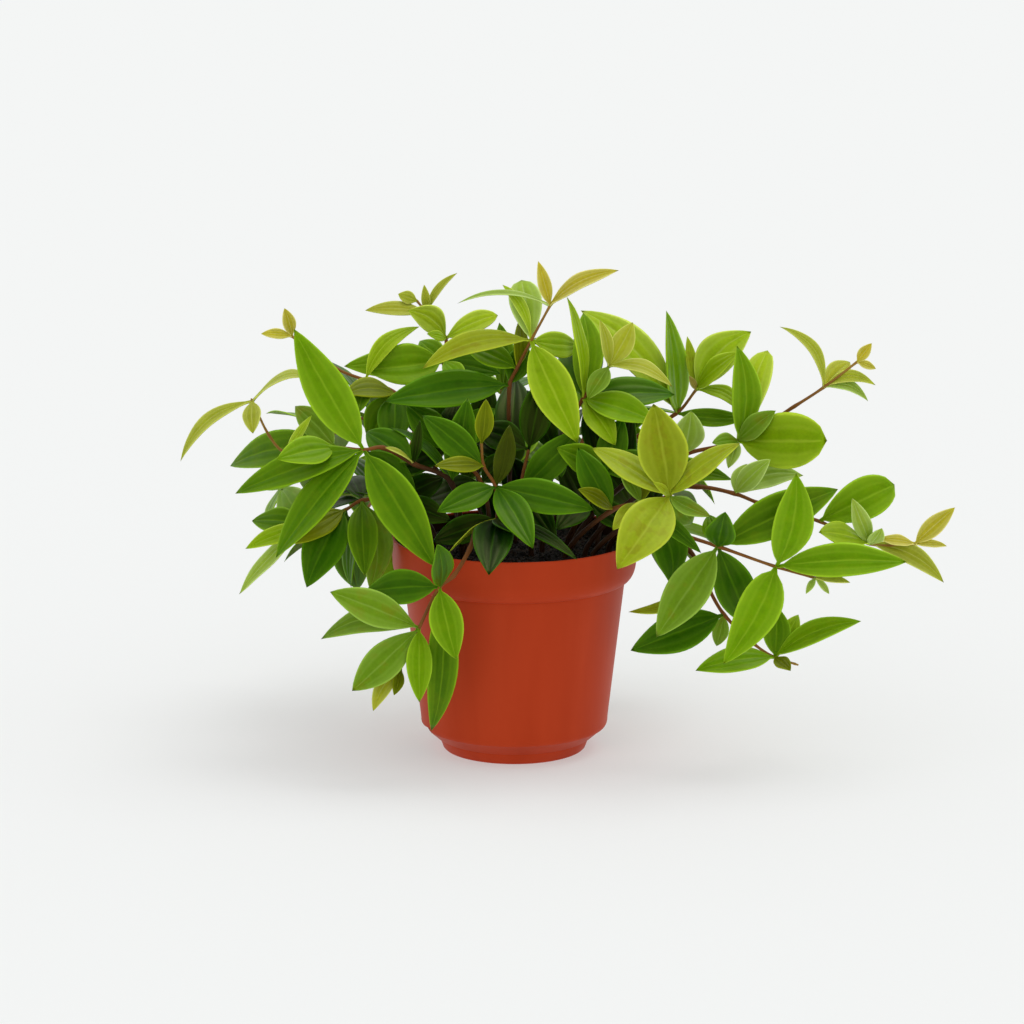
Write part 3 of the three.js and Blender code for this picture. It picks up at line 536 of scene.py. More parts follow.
            DrawnLeaf(1, (-72, 154, -6), 12, 0, 50, Tone.BRONZE, bend=0.08),
            DrawnLeaf(1, (-51, 132, -10), 15, -10, 20, Tone.DEEP, pointedness=0.6),
            DrawnLeaf(1, (-26, 150, -6), 13, 0, 35, Tone.SHADED_MOSS),
            DrawnLeaf(2, (-66, 146, -12), 9, 0, 30, Tone.MID),
            DrawnLeaf(1, (-62, 134, 2), 15, 0, 30, Tone.MID),
            DrawnLeaf(2, (-40, 183, 40), 8, 0, 30, Tone.LIGHT, bend=-0.14),
            DrawnLeaf(4, (-97, 191, 12), 6, 20, 15, Tone.AMBER),
            DrawnLeaf(4, (-107, 180, 10), 5, 0, 40, Tone.AMBER),
        ),
        whorls=(0,),
    ),
    StemPlan(
        name="stem_left_middle",
        root=(-33, -10),
        route=((-50, 108, -14), (-65, 108, -16), (-72, 104, -17), (-89, 97, -18)),
        leaves=(
            DrawnLeaf(2, (-89, 70, -36), 18, -10, 15, Tone.DEEP),
            DrawnLeaf(1, (-64, 75, -34), 13, 5, 10, Tone.MID),
            DrawnLeaf(1, (-70, 70, -26), 12, -50, 10, Tone.DEEP),
            DrawnLeaf(2, (-67, 69, -14), 16, 0, 5, Tone.DEEP),
            DrawnLeaf(1, (-62, 69, -16), 14, 20, 10, Tone.SHEEN, bend=-0.1),
            DrawnLeaf(3, (-118, 67, -22), 8, -50, 15, Tone.PALE_SHEEN),
            DrawnLeaf(3, (-115, 87, -30), 9, -10, 40, Tone.LIGHT),
            DrawnLeaf(3, (-112, 99, -8), 13, 0, 45, Tone.MID),
            DrawnLeaf(3, (-99, 113, -4), 15, -20, 20, Tone.SHEEN),
            DrawnLeaf(2, (-98, 89, -28), 13, -10, 35, Tone.BRONZE),
            DrawnLeaf(0, (-27, 99, -26), 12, 0, 30, Tone.SHADED_MOSS),
            DrawnLeaf(0, (-30, 118, -4), 12, 0, 30, Tone.SHADED_MOSS),
        ),
        whorls=(0, 1),
    ),
    StemPlan(
        name="stem_inner_left",
        root=(-10, -14),
        route=((-14, 116, -14), (-28, 130, -14)),
        leaves=(
            DrawnLeaf(1, (-46, 150, -10), 14, 0, 30, Tone.DEEP),
            DrawnLeaf(1, (-8, 148, -10), 14, 0, 30, Tone.DEEP),
            DrawnLeaf(1, (-54, 120, -12), 14, 0, 35, Tone.SHADED_MOSS),
            DrawnLeaf(1, (-24, 152, 2), 13, 0, 30, Tone.SHADED_MOSS),
            DrawnLeaf(0, (-38, 108, -12), 14, -10, 35, Tone.SHADED_MOSS),
            DrawnLeaf(0, (0, 128, -16), 12, 0, 30, Tone.SHADED_MOSS),
            DrawnLeaf(0, (-5, 99, -10), 12, 0, 20, Tone.SHADED_MOSS),
        ),
    ),
    StemPlan(
        name="stem_inner_centre",
        root=(7, -14),
        route=((3, 113, -18), (6, 130, -14)),
        leaves=(
            DrawnLeaf(0, (28, 139, -20), 14, 5, 25, Tone.DEEP),
            DrawnLeaf(0, (18, 90, -36), 11, 5, 10, Tone.SHADED_MOSS),
            DrawnLeaf(1, (12, 162, -12), 14, 0, 12, Tone.SHADED_MOSS),
            DrawnLeaf(1, (-16, 140, -4), 14, 0, 30, Tone.SHADED_MOSS),
            DrawnLeaf(1, (32, 152, -4), 13, 0, 30, Tone.SHADED_MOSS),
        ),
    ),
    StemPlan(
        name="stem_inner_right",
        root=(22, -10),
        route=((32, 108, -20), (38, 120, -18)),
        leaves=(
            DrawnLeaf(0, (18, 95, -40), 12, 0, 30, Tone.SHADED_MOSS),
            DrawnLeaf(1, (18, 131, -24), 13, 0, 25, Tone.MID),
            DrawnLeaf(1, (46, 144, -14), 13, 0, 30, Tone.DEEP),
            DrawnLeaf(1, (62, 126, -12), 13, 0, 35, Tone.DEEP),
            DrawnLeaf(0, (50, 96, -22), 11, 0, 30, Tone.SHADED_MOSS),
        ),
    ),
)

FAR_STEMS = (
    StemPlan(
        name="stem_back_left",
        root=(-22, 14),
        route=((-40, 132, 26), (-60, 144, 40), (-78, 136, 54), (-92, 120, 64)),
        whorls=(1, 2, 3),
    ),
    StemPlan(
        name="stem_back_left_low",
        root=(-34, 6),
        route=((-48, 112, 22), (-58, 110, 38), (-66, 100, 52)),
        whorls=(1, 2),
    ),
    StemPlan(
        name="stem_back_middle_left",
        root=(-12, 24),
        route=((-20, 116, 34), (-29, 144, 50), (-39, 150, 78), (-45, 128, 104)),
        whorls=(0, 1, 2, 3),
    ),
    StemPlan(
        name="stem_back_centre",
        root=(0, 18),
        route=((-3, 120, 22), (-5, 154, 38), (-5, 164, 68), (-1, 144, 102)),
        whorls=(0, 1, 2, 3),
    ),
    StemPlan(
        name="stem_back_low",
        root=(3, 33),
        route=((6, 111, 52), (10, 99, 74), (12, 74, 87), (12, 50, 91)),
        whorls=(0, 1, 2),
    ),
    StemPlan(
        name="stem_back_middle_right",
        root=(14, 24),
        route=((22, 114, 34), (33, 142, 52), (44, 146, 78), (52, 124, 102)),
        whorls=(0, 1, 2, 3),
    ),
    StemPlan(
        name="stem_back_right",
        root=(25, 14),
        route=((40, 124, 28), (48, 136, 46), (54, 130, 66), (56, 114, 84)),
        whorls=(1, 2, 3),
    ),
    StemPlan(
        name="stem_back_right_low",
        root=(36, 6),
        route=((44, 110, 26), (50, 106, 42), (54, 96, 56)),
        whorls=(1, 2),
    ),
)


class NodeWriter:
    """Adds nodes to a tree and joins them up. Any input takes a value or another node's output."""

    def __init__(self, tree: bpy.types.NodeTree) -> None:
        """Keeps the tree."""
        self.tree = tree

    def feed(self, socket: Socket, value: Any) -> None:
        """Links an output to an input, or sets the input's own value."""
        if isinstance(value, Socket):
            self.tree.links.new(value, socket)
        else:
            socket.default_value = value

    def add(self, kind: str, inputs: dict[Any, Any] | None = None, **settings: Any) -> bpy.types.Node:
        """Adds a node.

        Args:
            kind: the node's type.
            inputs: a value or an output for each input, by its name or number.
            **settings: the node's own settings.

        Returns:
            The new node.
        """
        node = self.tree.nodes.new(kind)
        for name, value in settings.items():
            setattr(node, name, value)
        for key, value in (inputs or {}).items():
            self.feed(node.inputs[key], value)
        return node

    def made(
        self, kind: str, inputs: dict[Any, Any] | None = None, output: int | str = 0, **settings: Any
    ) -> Socket:
        """Adds a node and returns one of its outputs, by its name or number."""
        return self.add(kind, inputs, **settings).outputs[output]

    def math(self, operation: str, *values: Any) -> Socket:
        """Adds a node that reckons with numbers and returns its output."""
        return self.made("ShaderNodeMath", dict(enumerate(values)), operation=operation)

    def vector_math(self, operation: str, first: Any, second: Any, output: int | str = 0) -> Socket:
        """Adds a node that reckons with two vectors and returns an output."""
        return self.made("ShaderNodeVectorMath", {0: first, 1: second}, output, operation=operation)

    def chain(self, operation: str, values: Sequence[Any]) -> Socket:
        """Works through numbers from the first to the last and returns the last output."""
        result = values[0]
        for value in values[1:]:
            result = self.math(operation, result, value)
        return result

    def total(self, *values: Any) -> Socket:
        """Adds up numbers and returns the output."""
        return self.chain("ADD", values)

    def product(self, *values: Any) -> Socket:
        """Multiplies numbers and returns the output."""
        return self.chain("MULTIPLY", values)

    def vector(self, x: Any = 0.0, y: Any = 0.0, z: Any = 0.0) -> Socket:
        """Makes a vector of three numbers and returns the output."""
        return self.made("ShaderNodeCombineXYZ", {0: x, 1: y, 2: z})

    def parts(self, vector: Any) -> Sequence[Socket]:
        """Gives the outputs with a vector's three numbers."""
        return self.add("ShaderNodeSeparateXYZ", {0: vector}).outputs

    def scaled(self, vector: Any, by: Any) -> Socket:
        """Scales a vector by a number and returns the output."""
        return self.made("ShaderNodeVectorMath", {0: vector, 3: by}, operation="SCALE")

    def vector_total(self, *values: Any) -> Socket:
        """Adds up vectors and returns the output."""
        result = values[0]
        for value in values[1:]:
            result = self.vector_math("ADD", result, value)
        return result

    def ramp(self, value: Any, low: Any, high: Any, start: float = 0.0, end: float = 1.0) -> Socket:
        """Maps a value softly from low..high to start..end and returns the output."""
        sizes = {"Value": value, "From Min": low, "From Max": high, "To Min": start, "To Max": end}
        return self.made("ShaderNodeMapRange", sizes, interpolation_type="SMOOTHSTEP")

    def fade(self, value: Any, low: Any, high: Any, start: float = 1.0) -> Socket:
        """Maps a value softly from low..high to start..0 and returns the output."""
        return self.ramp(value, low, high, start, 0.0)

    def mix(self, part: Any, first: Any, second: Any) -> Socket:
        """Mixes two colours and returns the output."""
        return self.made("ShaderNodeMix", {0: part, 6: first, 7: second}, 2, data_type="RGBA")

    def lit(self, value: Any, colour: Any) -> Socket:
        """Makes a colour lighter or darker by a factor and returns the output."""
        return self.made("ShaderNodeHueSaturation", {"Value": value, "Color": colour})

    def attribute(self, name: str, output: str = "Fac") -> Socket:
        """Reads a named attribute in a shader tree and returns the output."""
        return self.made("ShaderNodeAttribute", None, output, attribute_name=name)

    def read(self, name: str, kind: str = "FLOAT") -> Socket:
        """Reads a named attribute in a geometry tree and returns the output."""
        return self.made("GeometryNodeInputNamedAttribute", {"Name": name}, data_type=kind)

    def store(
        self, mesh: Any, name: str, value: Any, kind: str = "FLOAT", domain: str = "POINT"
    ) -> Socket:
        """Stores a named attribute on a mesh and returns the mesh's output."""
        inputs = {"Geometry": mesh, "Name": name, "Value": value}
        return self.made("GeometryNodeStoreNamedAttribute", inputs, data_type=kind, domain=domain)

    def closed(self, mesh: Any, seam: float) -> Socket:
        """Closes the seams of a mesh and returns its output."""
        return self.made("GeometryNodeMergeByDistance", {"Geometry": mesh, "Distance": seam * MM})

    def moved(self, mesh: Any, **places: Any) -> Socket:
        """Moves or turns a mesh by its Translation or Rotation and returns its output."""
        return self.made("GeometryNodeTransform", {"Geometry": mesh, **places})

    def copied(self, points: Any, shape: Any, **places: Any) -> Socket:
        """Puts a copy of a shape on each point, by its Rotation and Scale, and returns the output."""
        crowd = {"Points": points, "Instance": shape, **places}
        crowd = self.made("GeometryNodeInstanceOnPoints", crowd)
        return self.made("GeometryNodeRealizeInstances", {"Geometry": crowd})

    def finish_mesh(self, mesh: Any, seam: float, finish: Any, smooth: bool = True) -> Socket:
        """Closes the seams of a mesh, sets its shading and its material, and returns the output."""
        shading = {"Geometry": self.closed(mesh, seam), "Shade Smooth": smooth}
        shaded = self.made("GeometryNodeSetShadeSmooth", shading)
        return self.made("GeometryNodeSetMaterial", {"Geometry": shaded, "Material": finish})


@dataclass
class ShapeTree:
    """A geometry tree with named inputs.

    Attributes:
        name: the tree's name.
        sizes: each named input's socket kind and value.
    """

    name: str
    sizes: dict[str, tuple[str, Any]]
    tree: bpy.types.NodeTree = field(init=False)
    writer: NodeWriter = field(init=False)
    start: bpy.types.Node = field(init=False)
    end: bpy.types.Node = field(init=False)

    def __post_init__(self) -> None:
        """Makes the empty tree with its sockets."""
        self.tree = bpy.data.node_groups.new(self.name, "GeometryNodeTree")
        sockets = self.tree.interface
        sockets.new_socket("Geometry", in_out="INPUT", socket_type="NodeSocketGeometry")
        for label, (kind, value) in self.sizes.items():
            socket = sockets.new_socket(label, in_out="INPUT", socket_type=f"NodeSocket{kind}")
            if value is not None:
                socket.default_value = value
        sockets.new_socket("Geometry", in_out="OUTPUT", socket_type="NodeSocketGeometry")
        self.writer = NodeWriter(self.tree)
        self.start = self.writer.add("NodeGroupInput")
        self.end = self.writer.add("NodeGroupOutput")

    def given(self, name: str) -> Socket:
        """Gives the output of a named input."""
        return self.start.outputs[name]

    def close(self, mesh: Any, seam: float, smooth: bool = True) -> None:
        """Ends the tree with a mesh, whose seams are closed and which gets the tree's Finish."""
        dressed = self.writer.finish_mesh(mesh, seam, self.given("Finish"), smooth)
        self.writer.feed(self.end.inputs[0], dressed)

    def run(self, name: str, seed: bpy.types.Mesh, finish: Material) -> bpy.types.Object:
        """Runs the tree on a mesh.

        Args:
            name: the piece's name.
            seed: the mesh that the tree starts from.
            finish: the piece's material.

        Returns:
            A plain mesh piece.
        """
        source = bpy.data.objects.new(f"{name}_source", seed)
        bpy.context.scene.collection.objects.link(source)
        shaper = source.modifiers.new("shape", "NODES")
        shaper.node_group = self.tree
        shaper[self.tree.interface.items_tree["Finish"].identifier] = finish
        evaluated = source.evaluated_get(bpy.context.evaluated_depsgraph_get())
        mesh = bpy.data.meshes.new_from_object(evaluated)
        source.modifiers.remove(shaper)
        bpy.data.objects.remove(source)
        mesh.name = name
        piece = bpy.data.objects.new(name, mesh)
        bpy.context.scene.collection.objects.link(piece)
        return piece


def point_mesh(
    name: str,
    points: Sequence[Sequence[float]],
    chained: bool,
    fields: dict[str, list[Any]] | None = None,
) -> bpy.types.Mesh:
    """Makes a mesh of points, with one value of each field for each point.

    Args:
        name: the mesh's name.
        points: the places, in metres.
        chained: whether edges join the points in a row.
        fields: a list of numbers or vectors for each attribute.

    Returns:
        The mesh.
    """
    mesh = bpy.data.meshes.new(name)
    edges = [(i, i + 1) for i in range(len(points) - 1)] if chained else []
    mesh.from_pydata([tuple(point) for point in points], edges, [])
    kinds = {3: ("FLOAT_VECTOR", "vector"), 4: ("FLOAT_COLOR", "color")}
    for label, values in (fields or {}).items():
        single = isinstance(values[0], (int, float))
        kind, key = ("FLOAT", "value") if single else kinds[len(values[0])]
        flat = values if single else [number for value in values for number in value]
        mesh.attributes.new(label, kind, "POINT").data.foreach_set(key, flat)
    return mesh


def stage_piece(piece: bpy.types.Object, slot: str, *nodes: str) -> None:
    """Lets a piece stand for its solids, ride on the part's body and report itself."""
    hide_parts(*nodes)
    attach(piece, "root")
    log.info("%s: %d faces for %s", piece.name, len(piece.data.polygons), ", ".join(nodes))


def group_tree(
    name: str, inputs: dict[str, float], outputs: Sequence[str]
) -> tuple[NodeWriter, bpy.types.Node, bpy.types.Node]:
    """Starts a shader node group of numbers.

    Args:
        name: the group's name.
        inputs: each input's name and value.
        outputs: each output's name.

    Returns:
        The group's writer, its input node and its output node.
    """
    tree = bpy.data.node_groups.new(name, "ShaderNodeTree")
    sockets = tree.interface
    for label, value in inputs.items():
        socket = sockets.new_socket(label, in_out="INPUT", socket_type="NodeSocketFloat")
        socket.default_value = value
    for label in outputs:
        sockets.new_socket(label, in_out="OUTPUT", socket_type="NodeSocketFloat")
    writer = NodeWriter(tree)
    return writer, writer.add("NodeGroupInput"), writer.add("NodeGroupOutput")


def mottle_group() -> bpy.types.NodeTree:
    """Makes the group of soft blotches and a fine grain, which the plant, the pot and the peat use.

    Returns:
        A group whose outputs vary round a half, and whose Stretch draws them out upwards.
    """
    sizes = {"Blotch Scale": 60.0, "Grain Scale": 900.0, "Stretch": 1.0}
    n, start, end = group_tree("mottle", sizes, ("Blotch", "Grain"))
    place = n.made("ShaderNodeTexCoord", None, "Object")
    squeeze = n.vector(1.0, 1.0, n.math("DIVIDE", 1.0, start.outputs["Stretch"]))
    place = n.vector_math("MULTIPLY", place, squeeze)
    for label, detail in (("Blotch", 3.0), ("Grain", 2.0)):
        noise = {"Vector": place, "Scale": start.outputs[f"{label} Scale"], "Detail": detail}
        n.feed(end.inputs[label], n.made("ShaderNodeTexNoise", noise))
    return n.tree


def vein_group() -> bpy.types.NodeTree:
    """Makes the group for a blade's midrib, its pair of side veins, its margin and its rim.

    Returns:
        A group with the inputs Offset, from -1 to 1 across a blade, and Station, from 0 to 1 along it.
    """
    sizes = {"Offset": 0.0, "Station": 0.0, "Rib Width": 0.1, "Vein Width": 0.16, "Vein Place": 0.5}
    n, start, end = group_tree("veins", sizes, ("Midrib", "Side Veins", "Margin", "Rim"))
    given = start.outputs
    station = given["Station"]
    out = n.math("ABSOLUTE", given["Offset"])
    midrib = n.product(n.fade(out, 0.0, given["Rib Width"]), n.fade(station, *MIDRIB_ENDS))
    beside = n.math("ABSOLUTE", n.math("SUBTRACT", out, given["Vein Place"]))
    ends = n.product(n.ramp(station, *VEINS_START), n.fade(station, *VEINS_END))
    n.feed(end.inputs["Midrib"], midrib)
    n.feed(end.inputs["Side Veins"], n.product(n.fade(beside, 0.0, given["Vein Width"]), ends))
    n.feed(end.inputs["Margin"], n.ramp(out, *MARGIN_BAND))
    n.feed(end.inputs["Rim"], n.ramp(out, *RIM_BAND))
    return n.tree


@dataclass
class Finish:
    """A material in the making: its nodes, its shader and the outputs of the mottle group.

    Attributes:
        name: the material's name.
        roughness: how matt it is.
        mottle: the mottle group, if the material uses it.
        scales: the scales of its blotches and its grain.
        stretch: how much both are drawn out upwards.
    """

    name: str
    roughness: float
    mottle: bpy.types.NodeTree | None = None
    scales: Pair = (60.0, 900.0)
    stretch: float = 1.0
    material: Material = field(init=False)
    writer: NodeWriter = field(init=False)
    shader: bpy.types.Node = field(init=False)
    blotch: Socket = field(init=False)
    grain: Socket = field(init=False)

    def __post_init__(self) -> None:
        """Makes the material with its plain shader, and places the mottle group."""
        self.material = bpy.data.materials.new(self.name)
        self.material.use_nodes = True
        self.writer = NodeWriter(self.material.node_tree)
        self.shader = self.material.node_tree.nodes["Principled BSDF"]
        self.set("Roughness", self.roughness)
        if self.mottle:
            blotch_scale, grain_scale = self.scales
            sizes = {"Blotch Scale": blotch_scale, "Grain Scale": grain_scale, "Stretch": self.stretch}
            node = self.writer.add("ShaderNodeGroup", node_tree=self.mottle)
            for label, value in sizes.items():
                node.inputs[label].default_value = value
            self.blotch, self.grain = node.outputs["Blotch"], node.outputs["Grain"]

    def set(self, socket: str, value: Any) -> None:
        """Feeds one of the shader's inputs."""
        self.writer.feed(self.shader.inputs[socket], value)

    def varied(self, start: Any, by_blotch: float, by_grain: float) -> Socket:
        """Adds parts of the blotches and the grain to a start and returns the output."""
        n = self.writer
        return n.total(start, n.product(self.blotch, by_blotch), n.product(self.grain, by_grain))

    def vary_roughness(self, spread: float, *more: Any) -> None:
        """Lets the roughness follow the blotches over a spread round its own value, and adds more."""
        n = self.writer
        least = self.roughness - spread / 2
        self.set("Roughness", n.total(least, n.product(self.blotch, spread), *more))

    def bump(self, height: Any, depth: float, strength: float) -> None:
        """Gives the surface a relief from a height that runs from 0 to 1."""
        relief = {"Height": height, "Distance": depth * MM, "Strength": strength}
        self.set("Normal", self.writer.made("ShaderNodeBump", relief))


@dataclass(frozen=True)
class LeafFinish:
    """The satin blade: coloured by its leaf's tone, with paler veins and margin and a matt underside.

    A shade is a least lightness and what blotches and grain add to it. A band is where a mark sets in.
    A share is how much of its own colour a mark takes, which is the veins' colour but for the underside.
    """

    roughness: float = 0.36
    roughness_spread: float = 0.1
    underside_roughness: float = 0.2
    gloss: float = 0.3
    gloss_tint: Triple = (235, 255, 110)
    scales: Pair = (150.0, 800.0)
    shade: Triple = (0.55, 0.6, 0.3)
    blemish: Triple = (120, 108, 16)
    blemish_band: Pair = (0.5, 0.66)
    wander: float = 0.1
    margin_share: float = 0.55
    side_vein_share: float = 0.28
    midrib_share: float = 0.6
    rim_share: float = 0.8
    rim_light: float = 1.45
    underside: Triple = (118, 140, 34)
    underside_share: float = 0.3
    underside_band: Pair = (-0.9, -0.2)
    rib_depth: float = -0.7
    vein_depth: float = 0.7
    grain_depth: float = 0.3
    relief_depth: float = 0.25
    relief_strength: float = 0.5
    glow: float = 0.12
    glow_reach: Triple = (0.0012, 0.002, 0.0005)

    def place_veins(self, finish: Finish, veins: bpy.types.NodeTree) -> Any:
        """Places the vein group, laid out by leaf_uv, and returns its outputs."""
        n = finish.writer
        place = n.parts(n.made("ShaderNodeUVMap", uv_map="leaf_uv"))
        wander = n.product(n.math("SUBTRACT", finish.blotch, 0.5), self.wander)
        net = n.add("ShaderNodeGroup", node_tree=veins)
        n.feed(net.inputs["Offset"], n.total(n.product(place[0], 2.0), -1.0, wander))
        n.feed(net.inputs["Station"], place[1])
        return net.outputs

    def colour(self, finish: Finish, net: Any, under: Socket) -> Socket:
        """Colours both sides of the blade.

        Args:
            finish: the material in the making.
            net: the vein group's outputs.
            under: the output that is 1 on the underside.

        Returns:
            The output with the colour.
        """
        n = finish.writer
        vein = n.attribute("vein_colour", "Color")
        plain = n.lit(finish.varied(*self.shade), n.attribute("blade_colour", "Color"))
        spotted = n.product(n.ramp(finish.blotch, *self.blemish_band), n.attribute("blotched"))
        plain = n.mix(spotted, plain, linear(self.blemish))
        upper = n.mix(n.product(net["Margin"], self.margin_share), plain, vein)
        upper = n.mix(n.product(net["Side Veins"], self.side_vein_share), upper, vein)
        upper = n.mix(n.product(net["Midrib"], self.midrib_share), upper, vein)
        upper = n.mix(n.product(net["Rim"], self.rim_share), upper, n.lit(self.rim_light, vein))
        lower = n.mix(self.underside_share, plain, linear(self.underside))
        return n.mix(under, upper, lower)

    def make(self, mottle: bpy.types.NodeTree, veins: bpy.types.NodeTree) -> Material:
        """Makes the material from the mottle and the vein group."""
        finish = Finish("leaf", self.roughness, mottle, self.scales)
        n = finish.writer
        net = self.place_veins(finish, veins)
        under = n.fade(n.attribute("skin"), *self.underside_band)
        finish.set("Base Color", self.colour(finish, net, under))
        finish.vary_roughness(self.roughness_spread, n.product(under, self.underside_roughness))
        ribs = n.math("MAXIMUM", net["Midrib"], n.product(net["Side Veins"], self.vein_depth))
        height = n.total(n.product(ribs, self.rib_depth), n.product(finish.grain, self.grain_depth))
        finish.bump(height, self.relief_depth, self.relief_strength)
        finish.set("Specular IOR Level", self.gloss)
        finish.set("Specular Tint", linear(self.gloss_tint))
        finish.set("Subsurface Weight", self.glow)
        finish.set("Subsurface Radius", self.glow_reach)
        finish.set("Subsurface Scale", 1.0)
        return finish.material


@dataclass(frozen=True)
class StemFinish:
    """The fleshy red-brown stem, which turns to orange-green towards its tip.

    A relief is a start and what blotches and grain add to it.
    """

    roughness: float = 0.45
    gloss: float = 0.2
    scales: Pair = (160.0, 1500.0)
    root: Triple = (60, 34, 12)
    middle: Triple = (126, 74, 22)
    tip: Triple = (158, 124, 48)
    middle_band: Pair = (0.1, 0.4)
    tip_band: Pair = (0.6, 1.2)
    wander: float = 0.3
    shade: Triple = (0.6, 0.6, 0.2)
    relief: Triple = (0.0, 0.6, 0.4)
    relief_depth: float = 0.2
    relief_strength: float = 0.5

    def make(self, mottle: bpy.types.NodeTree) -> Material:
        """Makes the material from the mottle group."""
        finish = Finish("stem", self.roughness, mottle, self.scales)
        n = finish.writer
        grown = n.attribute("growth")
        colour = n.mix(n.ramp(grown, *self.middle_band), linear(self.root), linear(self.middle))
        shifted = n.total(grown, n.product(finish.blotch, self.wander))
        colour = n.mix(n.ramp(shifted, *self.tip_band), colour, linear(self.tip))
        finish.set("Base Color", n.lit(finish.varied(*self.shade), colour))
        finish.bump(finish.varied(*self.relief), self.relief_depth, self.relief_strength)
        finish.set("Specular IOR Level", self.gloss)
        return finish.material


@dataclass(frozen=True)
class PotFinish:
    """Moulded terracotta-coloured plastic, semi-matt, with one pale speck and painted shade over the inside
    of the wall.

    Its blotches are drawn out into faint upright streaks. The painted shade stops a little under the rim.
    """

    roughness: float = 0.46
    roughness_spread: float = 0.12
    gloss: float = 0.12
    gloss_tint: Triple = (255, 190, 140)
    scales: Pair = (55.0, 2200.0)
    stretch: float = 12.0
    colour: Triple = (189, 65, 33)
    streak: Triple = (181, 60, 29)
    streak_band: Pair = (0.35, 0.65)
    streak_grain: float = 0.12
    # The colour of the painted shade over the inside of the wall, and how far under the rim it stops
    painted_inside_shade: Triple = (44, 18, 10)
    unshaded_rim: float = 1.2
    speck: Triple = (216, 160, 130)
    speck_place: Triple = (8.9, -47.5, 27)
    speck_size: float = 0.5
    speck_core: float = 0.3
    speck_share: float = 0.8
    grain_depth: float = 0.05
    grain_strength: float = 0.35

    def make(self, mottle: bpy.types.NodeTree) -> Material:
        """Makes the material from the mottle group."""
        finish = Finish("terracotta_plastic", self.roughness, mottle, self.scales, self.stretch)
        n = finish.writer
        streak = linear(self.streak)
        colour = n.mix(n.ramp(finish.blotch, *self.streak_band), linear(self.colour), streak)
        colour = n.mix(n.product(finish.grain, self.streak_grain), colour, streak)
        place = n.made("ShaderNodeTexCoord", None, "Object")
        spot = tuple(value * MM for value in self.speck_place)
        radius = self.speck_size * MM
        gap = n.vector_math("DISTANCE", place, spot, "Value")
        fleck = n.fade(gap, self.speck_core * radius, radius, self.speck_share)
        colour = n.mix(fleck, colour, linear(self.speck))
        # The inside of the wall gets painted shade: full up to a little under the rim, and none at the rim
        full_shade_below, no_shade_above = (POT_HEIGHT - self.unshaded_rim) * MM, (POT_HEIGHT - LIP) * MM
        painted_inside_shade = n.product(n.attribute("inside"), n.fade(n.parts(place)[2], full_shade_below, no_shade_above))
        finish.set("Base Color", n.mix(painted_inside_shade, colour, linear(self.painted_inside_shade)))
        finish.vary_roughness(self.roughness_spread)
        finish.bump(finish.grain, self.grain_depth, self.grain_strength)
        finish.set("Specular IOR Level", self.gloss)
        finish.set("Specular Tint", linear(self.gloss_tint))
        return finish.material


@dataclass(frozen=True)
class PeatFinish:
    """Near-black moist peat with browner fibres."""

    roughness: float = 0.9
    scales: Pair = (400.0, 2500.0)
    dark: Triple = (20, 14, 10)
    fibre: Triple = (62, 42, 26)
    fibre_band: Pair = (0.45, 0.75)
    relief: Triple = (0.0, 0.7, 0.3)
    relief_depth: float = 0.8
    relief_strength: float = 0.8

    def make(self, mottle: bpy.types.NodeTree) -> Material:
        """Makes the material from the mottle group."""
        finish = Finish("peat", self.roughness, mottle, self.scales)
        n = finish.writer
        fibrous = n.ramp(finish.blotch, *self.fibre_band)
        finish.set("Base Color", n.mix(fibrous, linear(self.dark), linear(self.fibre)))
        finish.bump(finish.varied(*self.relief), self.relief_depth, self.relief_strength)
        return finish.material


@dataclass(frozen=True)
class FloorFinish:
    """The plain pale studio floor, lit a little from below as on a light table."""

    colour: Triple = (192, 194, 193)
    roughness: float = 1.0
    gloss: float = 0.0
    glow: float = 0.36

    def make(self) -> Material:
        """Makes the material."""
        finish = Finish("studio_floor", self.roughness)
        finish.set("Base Color", linear(self.colour))
        finish.set("Specular IOR Level", self.gloss)
        finish.set("Emission Color", WHITE)
        finish.set("Emission Strength", self.glow)
        return finish.material


def blade_blocks(n: NodeWriter, given: Given) -> Socket:
    """Puts a block of Columns by Stations by 2 corners on each point.

    Args:
        n: the writer of the tree.
        given: gives the output of a named input.

    Returns:
        The blocks, with the point's own fields and with offset, station, skin, leaf_uv and base.
    """
    here = n.made("GeometryNodeInputPosition")
    grid = {
        "Size": BLOCK_SIZE,
        "Vertices X": given("Columns"),
        "Vertices Y": given("Stations"),
        "Vertices Z": 2,
    }
    block = n.made("GeometryNodeMeshCube", grid, "Mesh")
    offset, level, skin = n.parts(here)
    station = n.math("ADD", level, 0.5)
    for name, value in (("offset", offset), ("station", station), ("skin", skin)):
        block = n.store(block, name, value)
    chart = n.vector(n.math("MULTIPLY_ADD", offset, 0.5, 0.5), station)
    block = n.store(block, "leaf_uv", chart, "FLOAT2", "CORNER")
    return n.copied(n.store(given("Geometry"), "base", here, "FLOAT_VECTOR"), block)


def blade_half_width(n: NodeWriter, given: Given) -> Socket:
    """Reckons half the width at a station, which is the stalk's or the pointed oval's.

    Args:
        n: the writer of the tree.
        given: gives the output of a named input.

    Returns:
        The output with it.
    """
    station, share = n.read("station"), given("Stalk Share")
    opened = n.math("DIVIDE", n.math("SUBTRACT", station, share), n.math("SUBTRACT", 1.0, share))
    opened = n.math("POWER", n.math("MAXIMUM", opened, 0.0), n.read("fullness"))
    outline = n.math("MAXIMUM", n.math("SINE", n.product(opened, math.pi)), 0.0)
    outline = n.math("POWER", outline, n.read("pointedness"))
    stalk = n.product(given("Stalk Width"), n.fade(station, *STALK_MELTS, 0.5))
    return n.math("MAXIMUM", stalk, n.product(n.read("width"), outline, 0.5))


